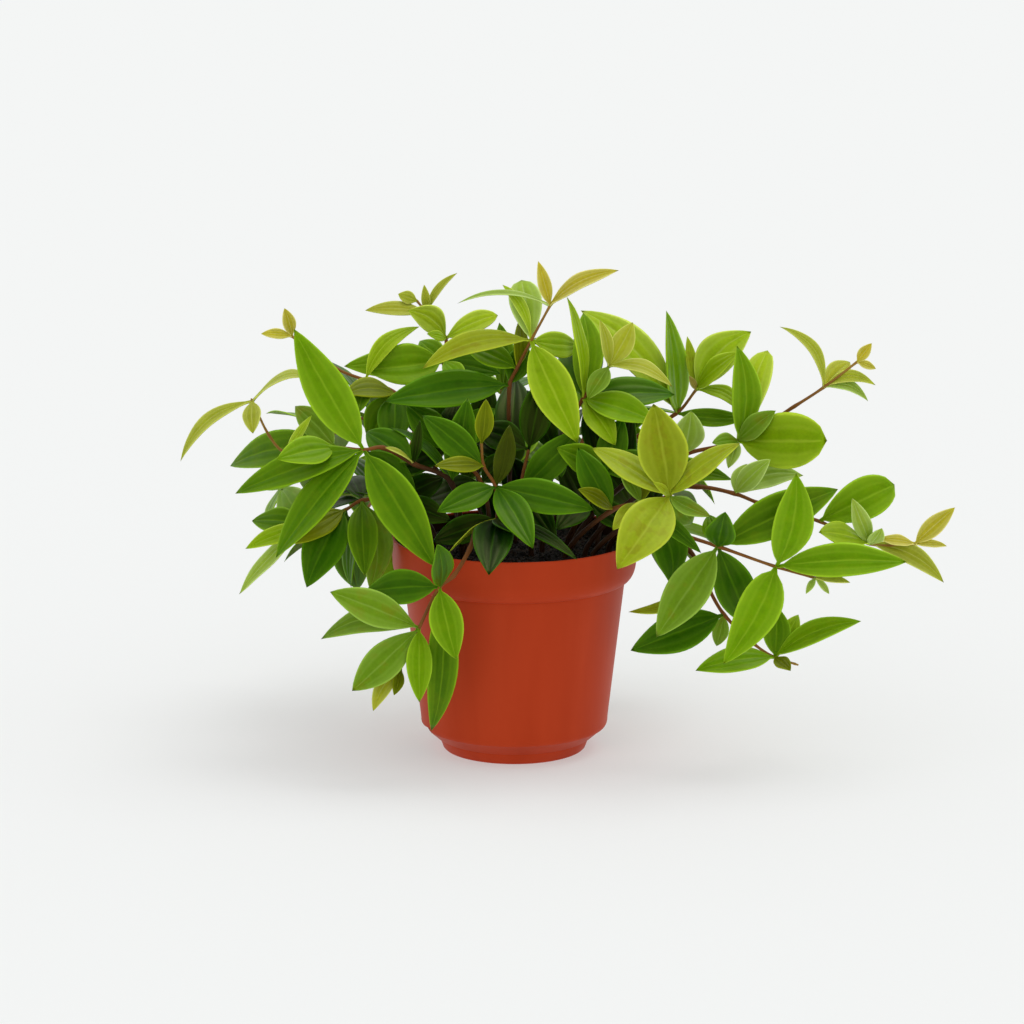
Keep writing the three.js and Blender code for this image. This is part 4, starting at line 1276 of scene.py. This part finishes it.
def blade_lift(n: NodeWriter, given: Given, half: Socket) -> Socket:
    """Reckons how far a corner lies off the blade's middle surface.

    Args:
        n: the writer of the tree.
        given: gives the output of a named input.
        half: the output with half the width.

    Returns:
        The output with it: the fold, the wave, the grooves over the veins and half the thickness.
    """
    station, width = n.read("station"), n.read("width")
    out = n.math("ABSOLUTE", n.read("offset"))
    squared = n.product(out, out)

    fold = n.product(n.read("fold"), half, n.math("POWER", out, given("Fold Power")))
    turn = n.math("SINE", n.total(n.product(station, given("Wave Count")), n.read("phase")))
    wave = n.product(n.read("wave"), width, squared, turn, n.ramp(station, *WAVES_START))

    beside = n.math("ABSOLUTE", n.math("SUBTRACT", out, given("Vein Place")))
    side_vein = n.product(n.fade(beside, 0.0, given("Rib Width")), given("Vein Depth"))
    ribs = n.total(n.fade(out, 0.0, given("Rib Width")), side_vein)
    ends = n.product(n.ramp(station, *STALK_FLATTENS), n.fade(station, *RIBS_END))
    groove = n.product(ribs, ends, width, given("Rib Depth"), -1.0)

    edge = n.product(given("Edge Thickness"), squared)
    middle = n.product(given("Middle Thickness"), n.math("SUBTRACT", 1.0, squared))
    blade = n.product(n.total(edge, middle), 0.5)
    stalk = n.product(given("Stalk Width"), n.fade(station, *STALK_FLATTENS, 0.5))
    thick = n.product(n.math("MAXIMUM", blade, stalk), n.fade(station, *TIP_THINS))
    return n.total(fold, wave, groove, n.product(n.read("skin"), thick))


def blade_place(n: NodeWriter, half: Socket, lift: Socket) -> Socket:
    """Reckons a corner's place: along the leaf, bowed up and sideways, and twisted round its length.

    Args:
        n: the writer of the tree.
        half: the output with half the width.
        lift: the output with the way off the middle surface.

    Returns:
        The output with the place.
    """
    station, length = n.read("station"), n.read("length")
    along, face = n.read("along", "FLOAT_VECTOR"), n.read("face", "FLOAT_VECTOR")
    side = n.vector_math("CROSS_PRODUCT", along, face)
    angle = n.product(n.read("twist"), station)
    cosine, sine = n.math("COSINE", angle), n.math("SINE", angle)
    side_turned = n.vector_total(n.scaled(side, cosine), n.scaled(face, sine))
    face_turned = n.vector_total(n.scaled(face, cosine), n.scaled(side, n.product(sine, -1.0)))
    bulge = n.product(station, n.math("SUBTRACT", 1.0, station), 4.0, length)
    return n.vector_total(
        n.read("base", "FLOAT_VECTOR"),
        n.scaled(along, n.product(station, length)),
        n.scaled(face, n.product(n.read("arch"), bulge)),
        n.scaled(side, n.product(n.read("bend"), bulge)),
        n.scaled(side_turned, n.product(n.read("offset"), half)),
        n.scaled(face_turned, lift),
    )


def blade_shape() -> ShapeTree:
    """Makes the tree that grows one closed blade on each point, from that point's own fields.

    Returns:
        The tree. Its points carry what Leaf.fields gives.
    """
    shape = ShapeTree("leaf blades", {
        "Columns": ("Int", 13),
        "Stations": ("Int", 17),
        "Stalk Width": ("Float", STALK_WIDTH * MM),
        "Stalk Share": ("Float", 0.05),
        "Middle Thickness": ("Float", 0.8 * MM),
        "Edge Thickness": ("Float", 0.42 * MM),
        "Rib Width": ("Float", 0.16),
        "Rib Depth": ("Float", 0.03),
        "Vein Place": ("Float", 0.5),
        "Vein Depth": ("Float", 0.55),
        "Fold Power": ("Float", 1.3),
        "Wave Count": ("Float", 13.0),
        "Finish": ("Material", None),
    })
    n, given = shape.writer, shape.given
    blocks = blade_blocks(n, given)
    half = blade_half_width(n, given)
    place = blade_place(n, half, blade_lift(n, given, half))
    grown = n.made("GeometryNodeSetPosition", {"Geometry": blocks, "Position": place})
    shape.close(grown, BLADE_SEAM)
    return shape


def stem_shape() -> ShapeTree:
    """Makes the tree that grows a round stem along a row of points, which carry radius and growth.

    Returns:
        The tree.
    """
    shape = ShapeTree("stems", {"Sides": ("Int", 10), "Finish": ("Material", None)})
    n = shape.writer
    path = n.made("GeometryNodeMeshToCurve", {"Mesh": shape.given("Geometry")})
    path = n.made("GeometryNodeSetCurveRadius", {"Curve": path, "Radius": n.read("radius")})
    ring = {"Resolution": shape.given("Sides"), "Radius": 1.0}
    ring = n.made("GeometryNodeCurvePrimitiveCircle", ring)
    sweep = n.add("GeometryNodeCurveToMesh", {"Curve": path, "Profile Curve": ring, "Fill Caps": True})
    if "Scale" in sweep.inputs:
        n.feed(sweep.inputs["Scale"], n.read("radius"))
    shape.close(sweep.outputs[0], STEM_SEAM)
    return shape


def turned_mesh(n: NodeWriter, profile: Socket, facets: Socket) -> Socket:
    """Turns a row of points in the XZ plane round +Z.

    Args:
        n: the writer of the tree.
        profile: the output with the row of points.
        facets: the count of facets round the turned mesh.

    Returns:
        The output with the closed mesh.
    """
    rows = {"Geometry": profile}
    rows = n.made("GeometryNodeAttributeDomainSize", rows, "Point Count", component="MESH")
    around = n.math("ADD", facets, 1)
    grid = {"Size X": 1.0, "Size Y": 1.0, "Vertices X": around, "Vertices Y": rows}
    sheet = n.made("GeometryNodeMeshGrid", grid, "Mesh")
    here = n.made("GeometryNodeInputPosition")
    local = n.parts(here)
    row = n.math("ROUND", n.product(n.math("ADD", local[1], 0.5), n.math("SUBTRACT", rows, 1)))
    sample = {"Geometry": profile, "Value": here, "Index": row}
    point = n.made("GeometryNodeSampleIndex", sample, data_type="FLOAT_VECTOR", domain="POINT")
    radius, _, height = n.parts(point)
    turn = n.product(n.math("ADD", local[0], 0.5), 2 * math.pi)
    x, y = (n.product(radius, n.math(part, turn)) for part in ("COSINE", "SINE"))
    place = {"Geometry": sheet, "Position": n.vector(x, y, height)}
    return n.closed(n.made("GeometryNodeSetPosition", place), TURNED_SEAM)


def drainage_cutters(n: NodeWriter, given: Given) -> list[Socket]:
    """Makes the bodies of the floor holes and of the two opposite heel slots.

    Args:
        n: the writer of the tree.
        given: gives the output of a named input.

    Returns:
        The outputs with the bodies.
    """
    ring = n.made("GeometryNodeMeshCircle", {"Vertices": FLOOR_HOLES, "Radius": given("Hole Circle")})
    drill = {"Vertices": HOLE_SIDES, "Radius": given("Hole Radius"), "Depth": given("Hole Depth")}
    drill = n.made("GeometryNodeMeshCylinder", drill, "Mesh")
    cutters = [n.moved(n.copied(ring, drill), Rotation=(0, 0, math.pi / FLOOR_HOLES))]
    slot = n.made("GeometryNodeMeshCube", {"Size": given("Slot Size")}, "Mesh")
    slot = n.moved(slot, Translation=given("Slot Place"), Rotation=n.vector(y=given("Slot Pitch")))
    for half_turn in (0.0, math.pi):
        turn = n.math("ADD", given("Slot Turn"), half_turn)
        cutters.append(n.moved(slot, Rotation=n.vector(z=turn)))
    return cutters


def marked_inside(n: NodeWriter, mesh: Socket) -> Socket:
    """Stores 1 as the field inside on the faces that look to the pot's axis.

    Args:
        n: the writer of the tree.
        mesh: the output with the pot.

    Returns:
        The output with the marked pot.
    """
    normal, here = n.made("GeometryNodeInputNormal"), n.made("GeometryNodeInputPosition")
    outward = n.parts(n.vector_math("MULTIPLY", normal, here))
    inside = n.math("LESS_THAN", n.total(outward[0], outward[1]), 0.0)
    return n.store(mesh, "inside", inside, "FLOAT", "FACE")


def pot_shape() -> ShapeTree:
    """Makes the tree that turns the pot's profile and cuts its drainage.

    Returns:
        The tree.
    """
    shape = ShapeTree("pot", {
        "Facets": ("Int", 160),
        "Slot Size": ("Vector", (12 * MM, 18 * MM, 4.4 * MM)),
        "Slot Pitch": ("Float", math.radians(35)),
        "Slot Turn": ("Float", math.radians(13)),
        "Slot Place": ("Vector", ((HEEL_RADIUS - WALL) * MM, 0, HEEL_SLOT_LEVEL * MM)),
        "Hole Radius": ("Float", 3.5 * MM),
        "Hole Circle": ("Float", 18 * MM),
        "Hole Depth": ("Float", 8 * MM),
        "Crease": ("Float", math.radians(38)),
        "Finish": ("Material", None),
    })
    n, given = shape.writer, shape.given
    wall = turned_mesh(n, given("Geometry"), given("Facets"))
    cut = n.add("GeometryNodeMeshBoolean", {"Mesh 1": wall}, operation="DIFFERENCE")
    for cutter in drainage_cutters(n, given):
        n.tree.links.new(cutter, cut.inputs["Mesh 2"])
    creased = n.math("GREATER_THAN", n.made("GeometryNodeInputMeshEdgeAngle"), given("Crease"))
    sharp = n.store(cut.outputs[0], "sharp_edge", creased, "BOOLEAN", "EDGE")
    shape.close(marked_inside(n, sharp), CUT_SEAM)
    return shape


def soil_heaps(n: NodeWriter, given: Given, body: Socket) -> Socket:
    """Raises and lowers the soil's top in low waves with a rough skin.

    Args:
        n: the writer of the tree.
        given: gives the output of a named input.
        body: the output with the turned soil.

    Returns:
        The output with the heaped soil.
    """
    here = n.made("GeometryNodeInputPosition")
    x, y, z = n.parts(here)
    across, deep = n.product(x, 1 / MM), n.product(y, 1 / MM)
    a, b, c, d = SOIL_WAVES
    first = n.math("SINE", n.math("MULTIPLY_ADD", across, a, 1.0))
    first = n.product(first, n.math("COSINE", n.product(deep, b)))
    second = n.product(n.math("SINE", n.total(n.product(across, c), n.product(deep, -d))), 0.5)
    rough = {"Vector": here, "Scale": given("Rough Scale"), "Detail": 3.0}
    rough = n.math("SUBTRACT", n.made("ShaderNodeTexNoise", rough), 0.5)
    heap = n.total(first, second, n.product(rough, given("Rough Height")))
    heaped = {
        "Geometry": body,
        "Selection": n.math("GREATER_THAN", z, n.math("SUBTRACT", given("Level"), TOP_TOLERANCE * MM)),
        "Offset": n.vector(z=n.product(heap, given("Lump"))),
    }
    return n.made("GeometryNodeSetPosition", heaped)


def soil_crumbs(n: NodeWriter, given: Given, body: Socket) -> Socket:
    """Strews crumbs over the soil's top.

    Args:
        n: the writer of the tree.
        given: gives the output of a named input.
        body: the output with the heaped soil.

    Returns:
        The output with the crumbs.
    """
    seed = given("Seed")
    up = n.parts(n.made("GeometryNodeInputNormal"))[2]
    top = n.math("GREATER_THAN", up, TOP_SLOPE)
    strewn = {"Mesh": body, "Selection": top, "Density": given("Crumbs"), "Seed": seed}
    strewn = n.made("GeometryNodeDistributePointsOnFaces", strewn, "Points", distribute_method="RANDOM")
    size = {2: given("Crumb Least"), 3: given("Crumb Most"), "Seed": seed}
    size = n.made("FunctionNodeRandomValue", size, 1, data_type="FLOAT")
    turn = {0: (0, 0, 0), 1: given("Crumb Turn"), "Seed": seed}
    turn = n.made("FunctionNodeRandomValue", turn, data_type="FLOAT_VECTOR")
    crumb = n.made("GeometryNodeMeshIcoSphere", {"Radius": 1.0, "Subdivisions": 1}, "Mesh")
    return n.copied(strewn, crumb, Rotation=turn, Scale=n.scaled(given("Crumb Shape"), size))


def soil_shape() -> ShapeTree:
    """Makes the tree that turns the soil's profile, heaps its top and strews crumbs over it.

    Returns:
        The tree.
    """
    shape = ShapeTree("soil", {
        "Facets": ("Int", 96),
        "Level": ("Float", SOIL_LEVEL * MM),
        "Lump": ("Float", SOIL_LUMP * MM),
        "Rough Scale": ("Float", 260.0),
        "Rough Height": ("Float", 1.6),
        "Crumbs": ("Float", 330000.0),
        "Crumb Least": ("Float", 0.45 * MM),
        "Crumb Most": ("Float", 1.5 * MM),
        "Crumb Shape": ("Vector", (1.0, 0.75, 0.55)),
        "Crumb Turn": ("Vector", (6.3, 6.3, 6.3)),
        "Seed": ("Int", 5),
        "Finish": ("Material", None),
    })
    n, given = shape.writer, shape.given
    heaped = soil_heaps(n, given, turned_mesh(n, given("Geometry"), given("Facets")))
    joined = n.add("GeometryNodeJoinGeometry")
    for mesh in (heaped, soil_crumbs(n, given, heaped)):
        n.tree.links.new(mesh, joined.inputs[0])
    shape.close(joined.outputs[0], CUT_SEAM, smooth=False)
    return shape


def seen(place: Triple) -> Vector:
    """Gives the point in space behind an [across, up, depth] place of the front view."""
    across, up, depth = place
    on_plane = Vector((across, 0, up))
    return on_plane + (on_plane - EYE) * (depth / -EYE.y)


def dice(seed: int) -> Iterator[float]:
    """Yields the solids' own repeatable draws from 0 to 1."""
    state = seed
    while True:
        state = (state * DICE_FACTOR + DICE_STEP) % DICE_RANGE
        yield state / DICE_RANGE


def facing(side: float, rise: float) -> Vector:
    """Gives the direction that lies side degrees right of the viewer and rise degrees above level."""
    turn, lift = math.radians(side), math.radians(rise)
    return Vector((math.sin(turn) * math.cos(lift), -math.cos(turn) * math.cos(lift), math.sin(lift)))


@dataclass
class Leaf:
    """A leaf in space, in millimetres, with the way its face looks and the way its tip may be moved."""

    base: Vector
    tip: Vector
    width: float
    arch: float
    face: Vector
    give: Vector
    tone: Tone
    drawn: bool = False
    bend: float = 0.0
    fullness: float = FULLNESS
    pointedness: float = POINTEDNESS

    def settle(self, tips: KDTree) -> bool:
        """Moves the tip to where the solid's leaf has it.

        Args:
            tips: the corners of the stem's solid.

        Returns:
            Whether the solid has this leaf.
        """
        for nudge in NUDGES:
            tip = self.tip + self.give * nudge
            if tips.find(tip)[2] < TIP_MATCH:
                self.tip = tip
                return True
        return False

    def fields(self, chance: random.Random) -> dict[str, Any]:
        """Gives what the blade tree reads for this leaf.

        Args:
            chance: draws the small differences between leaves.

        Returns:
            A number or a vector for each field.
        """
        run = self.tip - self.base
        along = run.normalized()
        tone = self.tone.value
        light = chance.uniform(*LIGHT_SPREAD)
        yellow = chance.uniform(*YELLOW_SPREAD)
        tints = (yellow, 1, BLUE_SHARE)
        blade = tuple(channel * light * tint for channel, tint in zip(tone.blade, tints))
        creased = self.drawn and self.width >= CREASED_WIDTH
        return {
            "along": along,
            "face": (self.face - along * self.face.dot(along)).normalized(),
            "length": run.length * MM,
            "width": self.width * MM,
            "arch": self.arch,
            "bend": self.bend + chance.uniform(*BEND_SPREAD),
            "fullness": self.fullness,
            "pointedness": self.pointedness,
            "fold": CREASE if creased else chance.uniform(*FOLD_SPREAD),
            "twist": chance.uniform(*TWIST_SPREAD),
            "wave": chance.uniform(*WAVE_SPREAD),
            "phase": chance.uniform(*PHASE_SPREAD),
            "blotched": tone.blotched,
            "blade_colour": linear(blade),
            "vein_colour": linear(tone.vein),
        }


@dataclass
class Foliage:
    """One leafy stem: its round stem and its blades, laid on the form of its solid.

    Attributes:
        plan: the stem's route and leaves.
        seed: the seed of its ruled leaves.
        steps: the pieces that each stretch of the stem is curved in.
        swell: how much a joint of the stem is thicker than the stem.
        tightness: how close to its joint that swelling stays.
        slimness: its radius at its root and its tip, as a part of that of the four-sided solid.
        end_share: the radius at the very end, as a part of the tip's.
    """

    plan: StemPlan
    seed: int
    steps: int = 8
    swell: float = 0.3
    tightness: float = 5.0
    slimness: Pair = (0.72, 0.5)
    end_share: float = 0.45

    @property
    def plain_name(self) -> str:
        """Gives the stem's name without its first word."""
        return self.plan.name.removeprefix("stem_")

    def stem_points(self) -> list[Vector]:
        """Gives the stem's root, the point above that, its route and a point just past its end."""
        x, y = self.plan.root
        route = [seen(place) for place in self.plan.route]
        beyond = route[-1] + (route[-1] - route[-2]).normalized() * STEM_END
        return [Vector((x, y, STEM_ROOT_LEVEL)), Vector((x, y, STEM_RISE_LEVEL)), *route, beyond]

    def drawn_leaves(self) -> list[Leaf]:
        """Gives the leaves that the front view shows."""
        leaves = []
        for row in self.plan.leaves:
            base, tip = seen(self.plan.route[row.point]), seen(row.tip)
            give = (tip - EYE).normalized()
            form = (row.bend, row.fullness, row.pointedness)
            face = facing(row.side, row.rise)
            leaves.append(Leaf(base, tip, row.width, row.arch, face, give, row.tone, True, *form))
        return leaves

    def ruled_leaves(self) -> list[Leaf]:
        """Gives the leaves that stand in whorls by rule, in the solids' own order.

        Returns:
            The leaves. On a stem with drawn leaves they turn to the back, where those leave room.
        """
        points = self.stem_points()
        draw = dice(self.seed)
        chance = random.Random(self.seed)
        drawn = bool(self.plan.leaves)
        count = BACK_LEAVES if drawn else WHORL_LEAVES
        tones = BACK_TONES if drawn else WHORL_TONES
        tilted = Vector((0, -WHORL_TILT if drawn else WHORL_TILT, 1))
        leaves = []
        for point in self.plan.whorls:
            before, base, after = points[point + ROUTE_START - 1:point + ROUTE_START + 2]
            along = (after - before).normalized()
            level = Vector((-along.y, along.x, 0)).normalized()
            upper = along.cross(level)
            face = (tilted + upper * WHORL_TILT).normalized()
            start = next(draw) * 360
            for i in range(count):
                turn = math.radians(start + i * WHORL_TURN)
                length = lerp(*WHORL_LENGTH, next(draw))
                lean = lerp(*WHORL_LEAN, next(draw))
                heading = level * math.cos(turn) + upper * (WHORL_LIFT * math.sin(turn)) + along * lean
                heading.y = abs(heading.y) if drawn else heading.y
                tip = base + heading.normalized() * length
                arch = lerp(*WHORL_ARCH, next(draw))
                width = length * LEAF_SLENDERNESS
                leaves.append(Leaf(base, tip, width, arch, face, face, chance.choice(tones)))
        return leaves

    def grow_leaves(
        self, solid: bpy.types.Object, shape: ShapeTree, finish: Material
    ) -> bpy.types.Object:
        """Grows the blades where the solid has its leaves.

        Args:
            solid: the stem's solid.
            shape: the blade tree.
            finish: the blades' material.

        Returns:
            The piece.
        """
        corners = solid.data.vertices
        tips = KDTree(len(corners))
        for corner in corners:
            tips.insert(corner.co / MM, corner.index)
        tips.balance()
        leaves = [leaf for leaf in self.drawn_leaves() + self.ruled_leaves() if leaf.settle(tips)]
        chance = random.Random(self.plan.name)
        rows = [leaf.fields(chance) for leaf in leaves]
        fields = {label: [row[label] for row in rows] for label in rows[0]}
        name = f"{self.plain_name}_leaves"
        log.info("%s: %d leaves", name, len(leaves))
        bases = [leaf.base * MM for leaf in leaves]
        return shape.run(name, point_mesh(name, bases, False, fields), finish)

    def curved(self, points: Sequence[Vector]) -> Iterator[tuple[Vector, float]]:
        """Yields a smooth path through points, with each place's number along them."""
        for i in range(len(points) - 1):
            before = points[i - 1] if i else points[0] * 2 - points[1]
            after = points[i + 2] if i + 2 < len(points) else points[-1] * 2 - points[-2]
            reach = (points[i + 1] - points[i]).length
            leave = (points[i + 1] - before).normalized() * reach
            arrive = (after - points[i]).normalized() * reach
            for step in range(self.steps):
                t = step / self.steps
                place = (
                    points[i] * (2 * t**3 - 3 * t**2 + 1)
                    + leave * (t**3 - 2 * t**2 + t)
                    + points[i + 1] * (3 * t**2 - 2 * t**3)
                    + arrive * (t**3 - t**2)
                )
                yield place, i + t
        yield points[-1], len(points) - 1.0

    def grow_stem(self, shape: ShapeTree, finish: Material) -> bpy.types.Object:
        """Grows the round stem, thicker at its joints and rounded at its end.

        Args:
            shape: the stem tree.
            finish: the stem's material.

        Returns:
            The piece.
        """
        points = self.stem_points()
        last = len(points) - 1
        places, radii, growths = [], [], []
        for place, number in self.curved(points):
            growth = max(0.0, number - 1) / (last - 1)
            radius = lerp(STEM_ROOT_RADIUS, STEM_TIP_RADIUS, growth) * lerp(*self.slimness, growth)
            joint = 1 - min(1.0, abs(number - round(number)) * self.tightness)
            if ROUTE_START <= round(number) < last:
                radius *= 1 + self.swell * joint
            places.append(place * MM)
            radii.append(radius * (self.end_share if number == last else 1.0) * MM)
            growths.append(growth)
        name = f"{self.plain_name}_stem"
        path = point_mesh(name, places, True, {"radius": radii, "growth": growths})
        return shape.run(name, path, finish)


def quarter(first: Pair, last: Pair, steps: int = 9) -> list[Pair]:
    """Gives a quarter turn of an ellipse, which leaves the first point level and ends upright."""
    turns = [math.pi / 2 * i / steps for i in range(1, steps)]
    radii = [lerp(first[0], last[0], math.sin(turn)) for turn in turns]
    heights = [lerp(last[1], first[1], math.cos(turn)) for turn in turns]
    return list(zip(radii, heights))


def pot_inside(gap: float) -> list[Pair]:
    """Gives the profile of the pot's inside, from the rim down, drawn in by a gap."""
    inset = WALL + gap
    return [
        (RIM_RADIUS - inset, POT_HEIGHT - LIP),
        (COLLAR_RADIUS - inset, COLLAR_HEIGHT + WALL / 2),
        (SHOULDER_RADIUS - inset, SHOULDER_HEIGHT + WALL),
        (HEEL_RADIUS - inset, HEEL_HEIGHT + WALL / 2),
        (FOOT_RADIUS + HEEL_STEP[0] / 2 - gap, FOOT_HEIGHT + HEEL_STEP[1] + WALL + gap),
        (FOOT_RADIUS - inset, FLOOR + gap),
        (0.0, FLOOR + gap),
    ]


def profile_mesh(name: str, profile: Sequence[Pair]) -> bpy.types.Mesh:
    """Makes a row of points from a profile of radii and heights."""
    return point_mesh(name, [(radius * MM, 0.0, height * MM) for radius, height in profile], True)


@dataclass
class Pot:
    """The moulded nursery pot: foot, heel, tapered body, collar and rolled rim.

    Attributes:
        foot_edge: the bevel of the foot's lower edge.
        heel_guard: how far outwards and up from the heel a row of corners keeps the wall straight.
        shoulder_guard: how far inwards and down from the shoulder one does.
        collar_guard: how far outwards and up from the collar one does.
        lip_step: how much wider the lip is than the collar under it.
        lip_corner: the part of the lip that its outer corner cuts off.
    """

    foot_edge: float = 0.5
    heel_guard: Pair = (0.15, 2)
    shoulder_guard: Pair = (0.4, 3)
    collar_guard: Pair = (0.05, 1.2)
    lip_step: float = 0.05
    lip_corner: float = 0.3

    def outside(self) -> list[Pair]:
        """Gives the profile of the pot's outside, from the middle of its underside to the rim."""
        heel_turn = (HEEL_RADIUS - HEEL_ROUND[0], HEEL_HEIGHT - HEEL_ROUND[1])
        heel, shoulder = (HEEL_RADIUS, HEEL_HEIGHT), (SHOULDER_RADIUS, SHOULDER_HEIGHT)
        collar = (COLLAR_RADIUS, COLLAR_HEIGHT)
        corner = self.lip_corner * LIP
        return [
            (0.0, 0.0),
            (FOOT_RADIUS - self.foot_edge, 0.0),
            (FOOT_RADIUS, self.foot_edge),
            (FOOT_RADIUS + HEEL_STEP[0] / 2, FOOT_HEIGHT),
            (FOOT_RADIUS + HEEL_STEP[0], FOOT_HEIGHT + HEEL_STEP[1]),
            heel_turn,
            *quarter(heel_turn, heel),
            heel,
            (HEEL_RADIUS + self.heel_guard[0], HEEL_HEIGHT + self.heel_guard[1]),
            (SHOULDER_RADIUS - self.shoulder_guard[0], SHOULDER_HEIGHT - self.shoulder_guard[1]),
            shoulder,
            *quarter(shoulder, collar),
            collar,
            (COLLAR_RADIUS + self.collar_guard[0], COLLAR_HEIGHT + self.collar_guard[1]),
            (RIM_RADIUS - self.lip_step, POT_HEIGHT - 2 * LIP),
            (RIM_RADIUS, POT_HEIGHT - LIP),
            (RIM_RADIUS - corner, POT_HEIGHT - corner),
            (RIM_RADIUS - WALL / 2, POT_HEIGHT),
        ]

    def build(self, shape: ShapeTree, finish: Material) -> bpy.types.Object:
        """Turns the pot and lets it stand for its solid."""
        profile = profile_mesh("pot_profile", [*self.outside(), *pot_inside(0)])
        piece = shape.run("nursery_pot", profile, finish)
        stage_piece(piece, "terracotta_plastic", "pot")
        return piece


@dataclass
class Soil:
    """The peat that fills the pot, with its crumbs.

    Attributes:
        rings: the rows of corners between the edge of its top and the middle.
        radius: the radius of its top.
    """

    rings: int = 26
    radius: float = 50.6

    def build(self, shape: ShapeTree, finish: Material) -> bpy.types.Object:
        """Turns and heaps the soil and lets it stand for its solid."""
        edge = SOIL_LEVEL - SOIL_EDGE_DROP
        wall = [point for point in reversed(pot_inside(SOIL_GAP)) if point[1] < edge]
        top = [(self.radius * (1 - i / self.rings), SOIL_LEVEL) for i in range(self.rings + 1)]
        piece = shape.run("peat", profile_mesh("soil_profile", [*wall, *top]), finish)
        stage_piece(piece, "peat", "soil")
        return piece


@dataclass
class Studio:
    """The camera at the photograph's angle, the pale floor and the soft light.

    Attributes:
        floor_size: the floor's side, in metres.
        world_light: the strength of the white surroundings.
        sun_light: the strength of the far soft light.
        sun_direction: the way that it shines.
        sun_softness: its spread in degrees.
    """

    floor_size: float = 30.0
    world_light: float = 0.78
    sun_light: float = 0.85
    sun_direction: Triple = (-0.3, -0.15, -1.0)
    sun_softness: float = 40.0

    def set_camera(self) -> None:
        """Places the camera and makes it the scene's."""
        lens = bpy.data.cameras.new("front_camera")
        lens.lens = CAMERA_LENS
        lens.sensor_width = CAMERA_SENSOR
        camera = bpy.data.objects.new("front_camera", lens)
        bpy.context.scene.collection.objects.link(camera)
        camera.location = EYE * MM
        camera.rotation_euler = (CAMERA_TARGET - EYE).to_track_quat("-Z", "Y").to_euler()
        bpy.context.scene.camera = camera

    def lay_floor(self, finish: Material) -> None:
        """Lays the floor that the pot stands on."""
        half = self.floor_size / 2
        mesh = bpy.data.meshes.new("studio_floor")
        corners = [(-half, -half, 0), (half, -half, 0), (half, half, 0), (-half, half, 0)]
        mesh.from_pydata(corners, [], [(0, 1, 2, 3)])
        mesh.materials.append(finish)
        floor = bpy.data.objects.new("studio_floor", mesh)
        bpy.context.scene.collection.objects.link(floor)

    def hang_sun(self) -> None:
        """Adds the far soft light."""
        light = bpy.data.lights.new("key_light", "SUN")
        light.energy = self.sun_light
        light.angle = math.radians(self.sun_softness)
        sun = bpy.data.objects.new("key_light", light)
        sun.rotation_euler = Vector(self.sun_direction).to_track_quat("-Z", "Y").to_euler()
        bpy.context.scene.collection.objects.link(sun)

    def light_up(self) -> None:
        """Sets the white surroundings and the sun."""
        world = bpy.data.worlds.new("studio")
        world.use_nodes = True
        background = world.node_tree.nodes["Background"]
        background.inputs["Color"].default_value = WHITE
        background.inputs["Strength"].default_value = self.world_light
        bpy.context.scene.world = world
        self.hang_sun()
        bpy.context.scene.view_settings.view_transform = "Standard"


def dress_plants(solids: dict[str, bpy.types.Object], leaf: Material, stem: Material) -> None:
    """Grows every leafy stem and lets its pieces stand for its solid.

    Args:
        solids: the frame's solids by name.
        leaf: the blades' material.
        stem: the stems' material.
    """
    blades, stems = blade_shape(), stem_shape()
    for i, plan in enumerate((*FRONT_STEMS, *FAR_STEMS)):
        foliage = Foliage(plan, WHORL_SEED + i)
        stage_piece(foliage.grow_leaves(solids[plan.name], blades, leaf), "foliage", plan.name)
        stage_piece(foliage.grow_stem(stems, stem), "foliage", plan.name)


def main() -> None:
    """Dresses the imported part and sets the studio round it."""
    logging.basicConfig(level=logging.INFO, format="%(name)s: %(message)s")
    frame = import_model()
    studio = Studio()
    studio.set_camera()
    mottle, veins = mottle_group(), vein_group()
    Pot().build(pot_shape(), PotFinish().make(mottle))
    Soil().build(soil_shape(), PeatFinish().make(mottle))
    dress_plants(frame["nodes"], LeafFinish().make(mottle, veins), StemFinish().make(mottle))
    studio.lay_floor(FloorFinish().make())
    studio.light_up()


if __name__ == "__main__":
    main()
